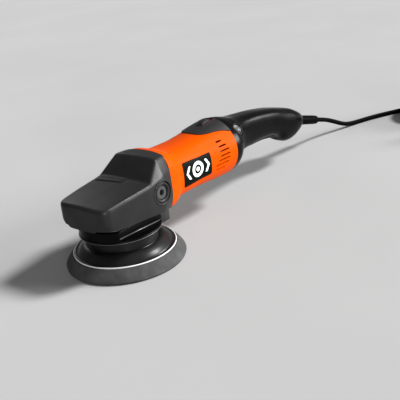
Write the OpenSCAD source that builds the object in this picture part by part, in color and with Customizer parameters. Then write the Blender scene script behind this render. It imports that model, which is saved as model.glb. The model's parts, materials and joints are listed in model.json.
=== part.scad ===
// Dual action polisher with a 150 mm backing pad, as an assembly of its real pieces.
// X runs along the tool with the head at -X, Z is up and the visible side is -Y.
// The hook face of the pad lies on z = 0 and the drive spindle turns about the Z axis.

/* [Pad] */
// Diameter of the hook face
pad_d = 150; // [120:5:180]
// Diameter over the backing plate's rim
plate_d = 132.6; // [110:0.2:160]
// Pad axis from the spindle axis, along X
orbit_x = 4.5; // [0:0.5:8]
// Pad axis from the spindle axis, along Y
orbit_y = 2; // [0:0.5:8]

/* [Drive] */
// Height of the motor axis above the pad face
motor_z = 82; // [78:0.5:90]
// Teeth on the crown gear
crown_teeth = 38; // [30:1:44]
// Teeth on the pinion
pinion_teeth = 10; // [8:1:12]
// Module of the bevel pair
gear_module = 1.25; // [1:0.05:1.4]
// Diameter of the spindle in its lower bearing
spindle_d = 15; // [12:1:17]

/* [Body] */
// Where the head cover meets the motor housing
seam_x = 60; // [50:1:70]
// Where the motor housing meets the handle
joint_x = 197; // [180:1:210]
// Wall thickness of the moulded shells
wall = 2.6; // [2:0.1:3.5]
// Radius of the skirt's rim
skirt_r = 51.6; // [45:0.1:56]
// Half width of the skirt between its flat sides
skirt_flat = 35.3; // [30:0.1:36]
// Distance of the side handle bosses from the spindle axis
boss_x = 36; // [34:0.1:40]
// Height of the side handle bosses
boss_z = 82.5; // [78:0.1:83]
// Distance of the bosses' faces from the middle of the tool
boss_reach = 43.1; // [41:0.1:43.5]
// Thread diameter of the side handle bosses
boss_thread_d = 8; // [8:1:14]

/* [Cord] */
// Diameter of the mains lead
cord_d = 7.5; // [6:0.1:9]
// Radius of the coil at the middle of its turns
coil_r = 44; // [38:1:60]
// Middle of the coil on the surface
coil_at = [674, -126];
// Distance between the plug's pins
pin_gap = 19; // [17:0.5:19]

/* [Hidden] */
$fn = 64;
play = 0.05;
gap = 0.3;
eps = 0.01;
cord_r = cord_d / 2;
pad_r = pad_d / 2;
plate_r = plate_d / 2;

orange = [1.0, 0.42, 0.02];
black = [0.09, 0.09, 0.1];
soft_black = [0.13, 0.13, 0.14];
grey_foam = [0.33, 0.33, 0.34];
alloy = [0.62, 0.63, 0.65];
steel = [0.72, 0.72, 0.74];
dark_steel = [0.35, 0.35, 0.37];
copper = [0.72, 0.36, 0.16];
brass = [0.78, 0.62, 0.3];
white_plastic = [0.86, 0.86, 0.84];
red_varnish = [0.45, 0.12, 0.08];

// heights along the spindle
plate_z = 12;
disc_z = 42.5;
disc_top = 47.5;
flange_z = 48;
roof_z = 56;
case_z = 58.5;
case_top = 91.2;
seat_z = 49.5;
seat_top = 60.5;
cavity_top = 89.7;
housing_screw_r = 31;

// cover outline: [x, bottom half width, bottom z, side half width,
//                 shoulder half width, shoulder z, top half width, top z, crown z]
cover_rows = [
    [seam_x, 33.8, 52.2, 39.1, 38.2, 101.3, 30.8, 120.7, 123.9],
    [54, 36.2, 53.5, 40.7, 39.6, 101.9, 32.0, 121.1, 123.8],
    [42.3, 41.0, 55.4, 43.8, 42.4, 101.9, 34.0, 121.2, 123.2],
    [36.1, 42.0, 56.1, 44.4, 43.2, 100.5, 36.3, 115.5, 117.5],
    [18.2, 42.6, 58.3, 44.5, 44.1, 97.2, 42.4, 99.8, 101.0],
    [12.2, 42.7, 59.1, 44.5, 44.1, 96.2, 42.3, 98.8, 100.0],
    [-23.3, 41.8, 63.3, 42.5, 42.2, 93.7, 40.4, 96.3, 97.5],
    [-46.8, 40.0, 66.0, 40.5, 40.4, 91.5, 38.4, 94.1, 95.3],
    [-55, 38.4, 67.2, 39.2, 38.8, 89.7, 36.6, 92.3, 93.7],
    [-59, 36.0, 68.8, 37.0, 36.6, 86.3, 34.2, 89.3, 90.7]
];

// barrel outline: [x, half width, bottom z, top z, roundness exponent]
barrel_rows = [
    [seam_x, 38.7, 44.0, 123.8, 3.5],
    [66, 38.3, 44.6, 123.0, 3.5],
    [75, 37.2, 46.0, 120.4, 3.3],
    [80, 35.5, 49.2, 118.6, 3.1],
    [90, 34.7, 49.8, 117.4, 2.8],
    [105, 34.7, 49.4, 117.0, 2.7],
    [120, 35.2, 48.8, 117.4, 2.5],
    [135, 36.2, 47.8, 118.4, 2.4],
    [150, 37.4, 46.4, 119.8, 2.3],
    [165, 38.8, 44.6, 121.6, 2.2],
    [180, 40.0, 43.2, 123.0, 2.1],
    [joint_x, 41.0, 42.0, 124.0, 2.0]
];

// handle outline: [x, half width, bottom z, top z, roundness exponent]
handle_rows = [
    [joint_x + play, 41.0, 42.0, 124.0, 2.0],
    [206, 40.6, 42.8, 123.4, 2.0],
    [213, 38.8, 45.6, 121.6, 2.0],
    [219, 35.2, 50.6, 119.6, 2.1],
    [225, 30.2, 56.0, 117.6, 2.2],
    [232, 25.2, 60.0, 115.6, 2.3],
    [242, 22.4, 62.2, 113.7, 2.4],
    [260, 20.6, 63.0, 111.5, 2.5],
    [285, 19.8, 63.4, 108.5, 2.5],
    [310, 19.5, 61.9, 104.4, 2.5],
    [335, 19.5, 55.7, 99.3, 2.5],
    [343, 19.5, 50.4, 97.2, 2.5],
    [351, 19.7, 43.2, 95.1, 2.4],
    [360, 19.9, 38.9, 92.5, 2.4],
    [370, 20.0, 37.6, 89.6, 2.4],
    [380, 20.0, 38.4, 86.4, 2.3],
    [390, 19.4, 40.8, 82.2, 2.3],
    [400, 17.8, 44.2, 77.2, 2.2],
    [408, 15.0, 47.6, 72.5, 2.2],
    [413, 12.2, 50.6, 68.6, 2.1]
];

// cooling slots on both sides: [first x, last x, z]
vents = [
    [161, 172, 104.2],
    [162, 177, 97.6],
    [162, 181, 91.2],
    [162, 182, 84.8],
    [158, 181, 79.4],
    [152, 178, 74],
    [152, 170, 68.2]
];

// handle screws: [x, z, outer end]
handle_screws_at = [
    [236, 96, 21.6],
    [250, 78, 19.2],
    [346, 74, 18],
    [378, 60, 18.5]
];

// strain relief: where it starts inside the handle, its slope and its length
relief_at = [402, 0, 59.5];
relief_slope = 16;
relief_l = 70.7;

// route of the lead from the strain relief to the coil
cord_route = [
    [469.96, 0, 40.01],
    [478, 0, 37.7],
    [490, 0, 34],
    [505, -0.5, 29.2],
    [521, -2, 22.6],
    [538, -5, 14.6],
    [554, -8.5, 7.8],
    [570, -12.5, 4.6],
    [587, -18, 3.8],
    [604, -24.7, 3.8],
    [621, -32.4, 3.8],
    [638, -41.2, 3.8],
    [655, -51.2, 3.8],
    [674, -62.6, 3.8],
    [696.5, -75.2, 3.8]
];

// where the tail enters the plug
plug_at = [588, -168, 10];

// route of the tail from the coil to the plug
tail_route = [
    [650, -180.1, 26],
    [639, -178.5, 24.6],
    [627, -175.8, 20.9],
    [613, -172, 15.2],
    [600, -169.2, 11.3],
    plug_at
];

// ---- helpers ----

function mix(a, b, t) = a + (b - a) * t;

function power_of(v, e) = sign(v) * pow(abs(v), e);

// a row of a table at any x, straight between its neighbours
function row_at(rows, x, i = 0) =
    (i >= len(rows) - 2 || x <= rows[i + 1][0])
        ? mix(rows[i], rows[i + 1], (x - rows[i][0]) / (rows[i + 1][0] - rows[i][0]))
        : row_at(rows, x, i + 1);

// point of a rounded outline row at an angle from +Y, moved out by grow
function outline_point(row, angle, grow = 0) =
    let (
        half_w = row[1] + grow,
        half_h = (row[3] - row[2]) / 2 + grow,
        e = 2 / row[4]
    )
    [
        row[0],
        half_w * power_of(cos(angle), e),
        (row[2] + row[3]) / 2 + half_h * power_of(sin(angle), e)
    ];

function knot(p, i) = p[max(0, min(len(p) - 1, i))];

function curve_point(p, i, t) =
    let (
        a = knot(p, i - 1),
        b = knot(p, i),
        c = knot(p, i + 1),
        d = knot(p, i + 2)
    )
    0.5 * (2 * b + (c - a) * t + (2 * a - 5 * b + 4 * c - d) * t * t + (3 * b - a - 3 * c + d) * t * t * t);

// smooth curve through points, n steps from each to the next
function curve(p, n) = concat(
    [for (i = [0:len(p) - 2]) for (s = [0:n - 1]) curve_point(p, i, s / n)],
    [p[len(p) - 1]]
);

// two triangles on four corners
function quad(a, b, c, d) = [[a, c, b], [a, d, c]];

// closed solid between an outer and an inner grid of points with the same rows and columns
module thick_sheet(outer, inner) {
    rows = len(outer);
    cols = len(outer[0]);
    all = rows * cols;
    points = concat([for (r = outer) for (p = r) p], [for (r = inner) for (p = r) p]);
    last = rows - 1;
    end = cols - 1;
    faces = concat(
        [for (i = [0:last - 1]) for (k = [0:end - 1])
            each quad(i * cols + k, i * cols + k + 1, (i + 1) * cols + k + 1, (i + 1) * cols + k)],
        [for (i = [0:last - 1]) for (k = [0:end - 1])
            each quad(all + i * cols + k, all + (i + 1) * cols + k,
                all + (i + 1) * cols + k + 1, all + i * cols + k + 1)],
        [for (i = [0:last - 1])
            each quad(i * cols, (i + 1) * cols, all + (i + 1) * cols, all + i * cols)],
        [for (i = [0:last - 1])
            each quad(i * cols + end, all + i * cols + end,
                all + (i + 1) * cols + end, (i + 1) * cols + end)],
        [for (k = [0:end - 1])
            each quad(k, all + k, all + k + 1, k + 1)],
        [for (k = [0:end - 1])
            each quad(last * cols + k, last * cols + k + 1,
                all + last * cols + k + 1, all + last * cols + k)]
    );
    polyhedron(points = points, faces = faces, convexity = 10);
}

// closed solid through rings of points, the last ring joined back to the first
module ring_solid(rings) {
    n = len(rings[0]);
    count = len(rings);
    points = [for (r = rings) for (p = r) p];
    faces = [for (i = [0:count - 1]) for (k = [0:n - 1])
        let (
            j = (i + 1) % count,
            m = (k + 1) % n
        )
        each quad(i * n + k, i * n + m, j * n + m, j * n + k)];
    polyhedron(points = points, faces = faces, convexity = 10);
}

// round tube swept along a route, closed at both ends
module swept_tube(route, r, sides = 10) {
    count = len(route);
    rings = [for (i = [0:count - 1])
        let (
            ahead = route[min(count - 1, i + 1)] - route[max(0, i - 1)],
            dir = ahead / norm(ahead),
            flat = [-dir[1], dir[0], 0],
            side = flat / norm(flat),
            up = cross(side, dir)
        )
        for (k = [0:sides - 1]) route[i] + r * (cos(360 * k / sides) * side + sin(360 * k / sides) * up)];
    faces = concat(
        [[for (k = [sides - 1:-1:0]) k]],
        [[for (k = [0:sides - 1]) (count - 1) * sides + k]],
        [for (i = [0:count - 2]) for (k = [0:sides - 1])
            let (m = (k + 1) % sides)
            each quad(i * sides + k, (i + 1) * sides + k, (i + 1) * sides + m, i * sides + m)]
    );
    polyhedron(points = rings, faces = faces, convexity = 6);
}

module on_pad_axis() {
    translate([orbit_x, orbit_y, 0])
        children();
}

module x_cylinder(x0, x1, r) {
    translate([x0, 0, motor_z])
        rotate([0, 90, 0])
            cylinder(h = x1 - x0, r = r);
}

module x_ring(x0, x1, r, bore) {
    difference() {
        x_cylinder(x0, x1, r);
        x_cylinder(x0 - 1, x1 + 1, bore);
    }
}

module y_cylinder(x, z, y0, y1, r) {
    translate([x, y0, z])
        rotate([-90, 0, 0])
            cylinder(h = y1 - y0, r = r);
}

module z_cylinder(z0, z1, r) {
    translate([0, 0, z0])
        cylinder(h = z1 - z0, r = r);
}

module z_ring(z0, z1, r, bore) {
    difference() {
        z_cylinder(z0, z1, r);
        z_cylinder(z0 - 1, z1 + 1, bore);
    }
}

// ball bearing standing on the local Z axis, its shields set back
module ball_bearing(width, r, bore) {
    race = (r - bore) * 0.24;
    step = 0.5;
    rotate_extrude()
        polygon([
            [bore, 0], [bore + race, 0], [bore + race, step], [r - race, step], [r - race, 0], [r, 0],
            [r, width], [r - race, width], [r - race, width - step], [bore + race, width - step],
            [bore + race, width], [bore, width]
        ]);
}

// ---- head ----

function cover_half(row) = curve([
    [row[1], row[2]],
    [row[3], mix(row[2], row[5], 0.35)],
    [row[3], mix(row[2], row[5], 0.8)],
    [row[4], row[5]],
    [row[6], row[7]],
    [row[6] * 0.6, mix(row[7], row[8], 0.65)],
    [0, row[8]]
], 3);

// arch of the cover from the -Y bottom edge over the top to the +Y one
function cover_arch(row, x, inset) =
    let (
        half = cover_half(row),
        squeeze = (row[3] - inset) / row[3],
        drop = inset / (row[8] - row[2]),
        n = len(half)
    )
    concat(
        [for (p = half) [x, -p[0] * squeeze, p[1] - (p[1] - row[2]) * drop]],
        [for (i = [n - 2:-1:0]) [x, half[i][0] * squeeze, half[i][1] - (half[i][1] - row[2]) * drop]]
    );

// straight lower edge that closes the nose below its last arch
function cover_foot(arch) = [for (i = [0:len(arch) - 1])
    [arch[0][0], mix(arch[0][1], -arch[0][1], i / (len(arch) - 1)), arch[0][2] - 1]];

module head_cover() {
    nose = cover_rows[len(cover_rows) - 1];
    outer_arches = [for (row = cover_rows) cover_arch(row, row[0], 0)];
    inner_arches = [for (row = cover_rows) cover_arch(row, max(row[0], nose[0] + wall), wall)];
    color(black)
        difference() {
            union() {
                thick_sheet(
                    concat(outer_arches, [cover_foot(outer_arches[len(outer_arches) - 1])]),
                    concat(inner_arches, [cover_foot(inner_arches[len(inner_arches) - 1])])
                );
                for (side = [-1, 1])
                    y_cylinder(boss_x, boss_z, side > 0 ? 40.5 : -44.9, side > 0 ? 44.9 : -40.5, 14);
            }
            for (side = [-1, 1])
                y_cylinder(boss_x, boss_z, side > 0 ? 33 : -48, side > 0 ? 48 : -33, 12.4);
        }
}

module gear_case() {
    color(alloy)
        difference() {
            union() {
                z_cylinder(case_z, case_top, 29.5);
                z_cylinder(case_z, 62, 34.3);
                for (a = [45:90:315])
                    rotate(a)
                        translate([29.5, 0, case_z])
                            cylinder(h = 11, r = 4.5);
                x_cylinder(10, 42, 12.4);
                x_cylinder(40, 56, 17);
                x_cylinder(54, seam_x - gap, 35.5);
                y_cylinder(boss_x, boss_z, -boss_reach, boss_reach, 8.2);
                for (s = [-1, 1])
                    translate([20, s * 15 - 2, 66])
                        cube([36, 4, 22]);
            }
            z_cylinder(case_z - 1, 79.5, 26.6);
            z_ring(79, cavity_top, 26.6, 9);
            z_cylinder(80.5, 88.5, 6);
            z_cylinder(79, 80.6, 5);
            x_cylinder(12, 45, 8.6);
            x_cylinder(44, 52, 13);
            x_cylinder(51, seam_x, 9);
            for (side = [-1, 1])
                mirror([0, side > 0 ? 0 : 1, 0])
                    y_cylinder(boss_x, boss_z, boss_reach - 16, boss_reach + 1, boss_thread_d / 2);
            for (a = [45:90:315])
                rotate(a)
                    translate([29.5, 0, case_z - 1])
                        cylinder(h = 10, r = 2 + play);
            for (a = [45:90:315])
                translate([53, 0, motor_z])
                    rotate([a, 0, 0])
                        translate([0, housing_screw_r, 0])
                            rotate([0, 90, 0])
                                cylinder(h = 8, r = 2 + play);
        }
}

module bearing_flange() {
    color(alloy)
        difference() {
            union() {
                z_cylinder(flange_z, roof_z, skirt_flat - 2.3);
                z_cylinder(roof_z, 61, 26.4);
            }
            z_cylinder(seat_z, 62, 17.5 + play);
            z_cylinder(flange_z - 1, seat_z + 1, 13);
            for (a = [45:90:315])
                rotate(a)
                    translate([29.5, 0, 0]) {
                        z_cylinder(flange_z - 1, 52, 3.8);
                        z_cylinder(51, 62, 2.2);
                    }
        }
}

module flange_screws() {
    color(dark_steel)
        for (a = [45:90:315])
            rotate(a)
                translate([29.5, 0, 0])
                    difference() {
                        union() {
                            z_cylinder(flange_z + 0.4, 52 - play, 3.5);
                            z_cylinder(51.5, 66, 2);
                        }
                        translate([0, 0, flange_z])
                            cylinder(h = 2.4, r = 1.7, $fn = 6);
                    }
}

// guard ring round the eccentric, flat on both sides above its rim
module skirt() {
    color(black)
        difference() {
            union() {
                z_ring(43, 46, skirt_r, 48.5);
                intersection() {
                    union() {
                        z_ring(45, case_z - play, skirt_r - 0.6, 48.5);
                        z_ring(roof_z + play, case_z - play, 50, 26.6);
                    }
                    translate([-60, -skirt_flat, 40])
                        cube([120, 2 * skirt_flat, 30]);
                }
                for (side = [-1, 1]) {
                    translate([-36.5, side > 0 ? skirt_flat - 2 : -skirt_flat, 43])
                        cube([73, 2, case_z - play - 43]);
                    intersection() {
                        z_cylinder(43, 46, skirt_r - 1);
                        translate([-60, side > 0 ? skirt_flat - 2 : -60, 40])
                            cube([120, 62 - skirt_flat, 10]);
                    }
                }
                difference() {
                    translate([30, -skirt_flat, 42.5])
                        cube([21, 2 * skirt_flat, 9.8]);
                    z_cylinder(40, 60, 50);
                }
            }
            for (a = [45:90:315])
                rotate(a)
                    translate([29.5, 0, 0])
                        z_cylinder(roof_z - 1, case_z + 1, 2.3);
        }
}

// ---- bevel pair: every tooth flank runs to the crossing point of the two axes ----

cone_length = gear_module * norm([crown_teeth, pinion_teeth]) / 2;
tooth_width = 8;
crown_cone = atan(crown_teeth / pinion_teeth);
pinion_cone = 90 - crown_cone;
addendum = atan(1.0 / cone_length);
dedendum = atan(1.35 / cone_length);

function crown_dir(cone, turn) = [sin(cone) * cos(turn), sin(cone) * sin(turn), -cos(cone)];

function pinion_dir(cone, turn) = [cos(cone), -sin(cone) * sin(turn), -sin(cone) * cos(turn)];

// [share of the pitch from the tooth's middle, rise over the pitch cone]
crown_tooth = [[-0.32, -dedendum], [-0.11, addendum], [0.11, addendum], [0.32, -dedendum]];
pinion_tooth = [
    [-0.25, -dedendum], [-0.18, 0], [-0.07, addendum],
    [0.07, addendum], [0.18, 0], [0.25, -dedendum]
];

crown_n = crown_teeth * len(crown_tooth);
pinion_n = pinion_teeth * len(pinion_tooth);

function crown_ring(far) = [for (t = [0:crown_teeth - 1]) for (p = crown_tooth)
    [0, 0, motor_z] + far * crown_dir(crown_cone + p[1], (t + 0.5 + p[0]) * 360 / crown_teeth)];

function crown_circle(r, z) = [for (t = [0:crown_teeth - 1]) for (p = crown_tooth)
    let (turn = (t + 0.5 + p[0]) * 360 / crown_teeth)
    [r * cos(turn), r * sin(turn), z]];

function pinion_ring(far) = [for (t = [0:pinion_teeth - 1]) for (p = pinion_tooth)
    [0, 0, motor_z] + far * pinion_dir(pinion_cone + p[1], (t + p[0]) * 360 / pinion_teeth)];

function pinion_circle(r, x) = [for (t = [0:pinion_teeth - 1]) for (p = pinion_tooth)
    let (turn = (t + p[0]) * 360 / pinion_teeth)
    [x, -r * sin(turn), motor_z - r * cos(turn)]];

module crown_gear() {
    color(dark_steel)
        ring_solid([
            crown_ring(cone_length),
            crown_ring(cone_length - tooth_width),
            crown_circle(13.5, 73.5),
            crown_circle(7 + play, 73.5),
            crown_circle(7 + play, 62.1),
            crown_circle(12, 62.1),
            crown_circle(13, 66),
            crown_circle(24, 67.5)
        ]);
}

module pinion() {
    color(dark_steel)
        ring_solid([
            pinion_ring(cone_length - tooth_width),
            pinion_circle(3 + play, (cone_length - tooth_width) * cos(pinion_cone) - 0.4),
            pinion_circle(3 + play, 31),
            pinion_circle(6.2, 31),
            pinion_circle(6.2, 25.4),
            pinion_ring(cone_length)
        ]);
}

module drive_spindle() {
    r = spindle_d / 2;
    color(steel)
        rotate_extrude()
            polygon([
                [0, disc_z + 0.1], [7, disc_z + 0.1], [7, seat_z - 0.2], [r, seat_z - 0.2],
                [r, seat_top], [8.6, seat_top], [8.6, 62], [7, 62], [7, 74.5],
                [4, 74.5], [4, 88.2], [0, 88.2]
            ]);
}

module upper_bearing() {
    color(steel)
        z_ring(80.8, 88.4, 6 - play, 4 + play);
}

module lower_bearing() {
    color(steel)
        translate([0, 0, seat_z])
            ball_bearing(11 - play, 17.5, spindle_d / 2 + play);
}

// ---- eccentric and pad ----

module eccentric() {
    away = atan2(-orbit_y, -orbit_x);
    color(alloy)
        difference() {
            union() {
                z_cylinder(disc_z, disc_top, 30);
                rotate_extrude(angle = 110, start = away - 55)
                    polygon([[20, disc_z], [32.7, disc_z], [32.7, disc_top], [20, disc_top]]);
                on_pad_axis()
                    z_cylinder(23.8, disc_z + 1, 18);
            }
            z_cylinder(disc_z - 1, disc_top + 1, 7 + play);
            on_pad_axis() {
                z_cylinder(22, disc_z - 0.1, 14 + play);
                z_cylinder(24.8, 25.8, 14.8);
            }
            rotate(away)
                translate([7, 0, 45])
                    rotate([0, 90, 0])
                        cylinder(h = 40, r = 2 + play);
        }
}

module set_screw() {
    color(dark_steel)
        rotate(atan2(-orbit_y, -orbit_x))
            translate([7.2, 0, 45])
                rotate([0, 90, 0])
                    difference() {
                        cylinder(h = 22, r = 2);
                        translate([0, 0, 20])
                            cylinder(h = 3, r = 1, $fn = 6);
                    }
}

module pad_bearings() {
    color(steel)
        on_pad_axis() {
            translate([0, 0, 26])
                ball_bearing(8, 14, 6 + play);
            translate([0, 0, 34.3])
                ball_bearing(8, 14, 6 + play);
        }
}

module retaining_ring() {
    color(dark_steel)
        on_pad_axis()
            difference() {
                z_ring(24.85, 25.75, 14.7, 11);
                translate([0, -4, 24])
                    cube([20, 8, 3]);
            }
}

module pad_spindle() {
    color(steel)
        on_pad_axis()
            rotate_extrude()
                polygon([
                    [0, plate_z + 0.4], [4, plate_z + 0.4], [4, 19.5], [11, 19.5], [11, 22.6],
                    [7.5, 23], [7.5, 25.8], [6, 25.8], [6, 42.1], [0, 42.1]
                ]);
}

module plate_insert() {
    color(steel)
        on_pad_axis()
            difference() {
                union() {
                    z_cylinder(plate_z, 19.5, 9);
                    z_cylinder(13.5, 16, 12);
                }
                z_cylinder(plate_z - 1, 20, 4 + play);
            }
}

module backing_plate() {
    hub_r = 43;
    color(black)
        on_pad_axis()
            difference() {
                rotate_extrude($fn = 96)
                    polygon([
                        [0, plate_z], [plate_r - 1.8, plate_z], [plate_r - 0.5, 13.4], [plate_r, 15.2],
                        [plate_r - 0.4, 16.6], [plate_r - 1.6, 17.6], [plate_r - 3.2, 17.9],
                        [plate_r - 4.6, 17.6], [60, 19.4], [56.5, 22.8], [52.5, 25.6], [48.5, 27.2],
                        [45.5, 27.2], [hub_r + 0.4, 25.6], [hub_r, 27], [hub_r - 0.6, 40.6],
                        [hub_r - 1.4, 41.4], [39, 41.4], [38, 40.6], [37.4, 21.5], [34, 19.5], [0, 19.5]
                    ]);
                z_cylinder(plate_z - 1, 21, 9 + play);
                z_cylinder(13.5 - play, 16 + play, 12 + play);
            }
}

module pad_foam() {
    color(grey_foam)
        on_pad_axis()
            rotate_extrude($fn = 96)
                polygon([
                    [0, 1.2], [pad_r - 0.6, 1.2], [pad_r, 2.4], [pad_r - 0.2, 5], [pad_r - 1.6, 8.4],
                    [pad_r - 3.8, 11.6], [pad_r - 6.2, 14.2], [plate_r + 1.5, 15.6],
                    [plate_r + 0.5, 15.6], [plate_r + 0.3, 14.8], [plate_r, 13.2],
                    [plate_r - 1.4, plate_z - eps], [0, plate_z - eps]
                ]);
}

module hook_layer() {
    color(soft_black)
        on_pad_axis()
            z_cylinder(0, 1.2, pad_r - 0.4);
}

// ---- motor housing ----

function barrel_ring(row, grow, steps = 56) =
    [for (k = [0:steps - 1]) outline_point(row, 360 * k / steps, grow)];

// bosses inside the front of the barrel for the screws that hold the gear case
module housing_bosses() {
    for (a = [45:90:315])
        translate([seam_x + gap, 0, motor_z])
            rotate([a, 0, 0]) {
                translate([0, housing_screw_r, 0])
                    rotate([0, 90, 0])
                        cylinder(h = 11, r = 4.2);
                translate([0, housing_screw_r, -1.5])
                    cube([11, 12.4, 3]);
            }
}

module motor_housing() {
    color(orange)
        difference() {
            union() {
                ring_solid(concat(
                    [for (row = barrel_rows) barrel_ring(row, 0)],
                    [for (i = [len(barrel_rows) - 1:-1:0]) barrel_ring(barrel_rows[i], -wall)]
                ));
                housing_bosses();
            }
            for (a = [45:90:315])
                translate([seam_x, 0, motor_z])
                    rotate([a, 0, 0])
                        translate([0, housing_screw_r, 0])
                            rotate([0, 90, 0])
                                cylinder(h = 9.5, r = 2 + play);
            for (v = vents)
                for (side = [-1, 1])
                    translate([v[0], side > 0 ? 22 : -45, v[2] - 1.1])
                        cube([v[1] - v[0], 23, 2.2]);
            translate([167.4, -4.4, 108])
                cube([29.2, 8.8, 20]);
        }
}

// soft tongue on top of the barrel, wider towards the handle
pad_rows = [[147, 12], [150, 20], [156, 27], [164, 32], [174, 36], [184, 41], [joint_x - gap, 50]];

function pad_arc(x, spread, grow) =
    [for (k = [0:12]) outline_point(row_at(barrel_rows, x), 90 + mix(-spread, spread, k / 12), grow)];

module grip_pad() {
    color(soft_black)
        difference() {
            thick_sheet(
                [for (r = pad_rows) pad_arc(r[0], r[1], 1.4)],
                [for (r = pad_rows) pad_arc(r[0], r[1], 0.4)]
            );
            translate([167.4, -4.4, 108])
                cube([29, 8.8, 20]);
        }
}

badge_x = [89, 98, 107, 116, 125, 134, 143];
badge_spread = 21.5;

function badge_arc(x, grow) =
    [for (k = [0:8]) outline_point(row_at(barrel_rows, x), mix(-badge_spread, badge_spread, k / 8), grow)];

module badge_right() {
    color(black)
        thick_sheet([for (x = badge_x) badge_arc(x, 0.8)], [for (x = badge_x) badge_arc(x, play)]);
}

module badge_left() {
    mirror([0, 1, 0])
        badge_right();
}

module housing_screws() {
    color(dark_steel)
        for (a = [45:90:315])
            translate([0, 0, motor_z])
                rotate([a, 0, 0])
                    translate([0, housing_screw_r, 0])
                        rotate([0, 90, 0]) {
                            translate([0, 0, 50.4])
                                cylinder(h = 3.5, r = 3.6);
                            translate([0, 0, 53])
                                cylinder(h = 16, r = 2);
                        }
}

// ---- motor ----

module stator_core() {
    color(dark_steel)
        difference() {
            union() {
                x_ring(92, 136, 29, 24);
                intersection() {
                    x_ring(92, 136, 25, 17.6);
                    translate([90, -30, motor_z - 12])
                        cube([48, 60, 24]);
                }
            }
            for (a = [45, 225])
                translate([90, 0, motor_z])
                    rotate([a, 0, 0])
                        translate([0, 26.5, 0])
                            rotate([0, 90, 0])
                                cylinder(h = 48, r = 1.6);
        }
}

module field_windings() {
    color(copper)
        for (side = [-1, 1])
            difference() {
                intersection() {
                    x_ring(86, 142, 23.6, 18.2);
                    translate([80, side > 0 ? 2 : -28, motor_z - 19])
                        cube([70, 26, 38]);
                }
                translate([92 - gap, -30, motor_z - 12 - gap])
                    cube([44 + 2 * gap, 60, 24 + 2 * gap]);
            }
}

module armature_shaft() {
    color(steel)
        translate([0, 0, motor_z])
            rotate([0, 90, 0])
                rotate_extrude()
                    polygon([
                        [0, 15.8], [3, 15.8], [3, 31.2], [5, 31.2], [5, 53], [6, 53],
                        [6, 172.6], [4, 172.6], [4, 180.6], [0, 180.6]
                    ]);
}

module armature_core() {
    slots = 12;
    color(dark_steel)
        difference() {
            x_ring(92, 136, 17, 6 + play);
            for (i = [0:slots - 1])
                translate([91, 0, motor_z])
                    rotate([360 * i / slots, 0, 0])
                        translate([0, -1.1, 11])
                            cube([46, 2.2, 7]);
        }
}

module armature_windings() {
    color(copper) {
        x_ring(84.4, 92 - play, 15.6, 6 + play);
        x_ring(136 + play, 143.6, 15.6, 6 + play);
    }
}

module commutator() {
    bars = 24;
    color(copper)
        difference() {
            x_ring(148, 165, 11, 6 + play);
            for (i = [0:bars - 1])
                translate([151, 0, motor_z])
                    rotate([360 * i / bars, 0, 0])
                        translate([0, -0.3, 10.2])
                            cube([15, 0.6, 2]);
        }
}

module fan() {
    blades = 11;
    color(soft_black)
        difference() {
            union() {
                x_cylinder(66, 68, 26);
                x_cylinder(66, 80, 10);
                for (i = [0:blades - 1])
                    translate([67, 0, motor_z])
                        rotate([360 * i / blades, 0, 0])
                            translate([0, 6, 9])
                                rotate([24, 0, 0])
                                    cube([12, 1.6, 16]);
            }
            x_cylinder(65, 81, 6 + play);
        }
}

module fan_baffle() {
    color(soft_black)
        x_ring(82, 84, 29.4, 21);
}

module front_motor_bearing() {
    color(steel)
        translate([44.1, 0, motor_z])
            rotate([0, 90, 0])
                ball_bearing(7.8, 13 - play, 5 + play);
}

module rear_motor_bearing() {
    color(steel)
        translate([173.6, 0, motor_z])
            rotate([0, 90, 0])
                ball_bearing(7, 11, 4 + play);
}

module bearing_carrier() {
    ports = 6;
    color(soft_black)
        difference() {
            union() {
                x_cylinder(168.4, 172, 33.5);
                x_cylinder(168.4, 182, 14.4);
            }
            x_cylinder(173.5, 183, 11 + play);
            x_cylinder(167, 174, 7);
            for (i = [0:ports - 1])
                translate([167, 0, motor_z])
                    rotate([360 * i / ports, 0, 0])
                        translate([0, 0, 24])
                            rotate([0, 90, 0])
                                cylinder(h = 6, r = 6.5);
            translate([166, -6, motor_z + 13.5])
                cube([18, 12, 22]);
        }
}

module brush_holders() {
    color(brass)
        for (side = [-1, 1])
            difference() {
                translate([152.6, side > 0 ? 12 : -31, motor_z - 6])
                    cube([12, 19, 12]);
                translate([153.9 - play, side > 0 ? 11 : -29.6, motor_z - 4.7 - play])
                    cube([9.4 + 2 * play, 18.6, 9.4 + 2 * play]);
            }
}

module brushes() {
    color(soft_black)
        for (side = [-1, 1])
            translate([153.9, side > 0 ? 11.3 : -23.3, motor_z - 4.7])
                cube([9.4, 12, 9.4]);
}

module brush_springs() {
    color(steel)
        for (side = [-1, 1])
            difference() {
                y_cylinder(158.6, motor_z, side > 0 ? 23.5 : -29.4, side > 0 ? 29.4 : -23.5, 3);
                y_cylinder(158.6, motor_z, side > 0 ? 23 : -30, side > 0 ? 30 : -23, 2.2);
            }
}

// ---- handle ----

function handle_arc(row, side, grow, x) =
    [for (k = [0:18])
        let (p = outline_point(row, mix(-90, 90, k / 18), grow))
        [x, side * max(p[1], 0.1), p[2]]];

function handle_end(row, side, x, share) =
    [for (k = [0:18])
        let (p = outline_point(row, mix(-90, 90, k / 18)))
        [x, side * 0.1, mix((row[2] + row[3]) / 2, p[2], share)]];

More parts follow.
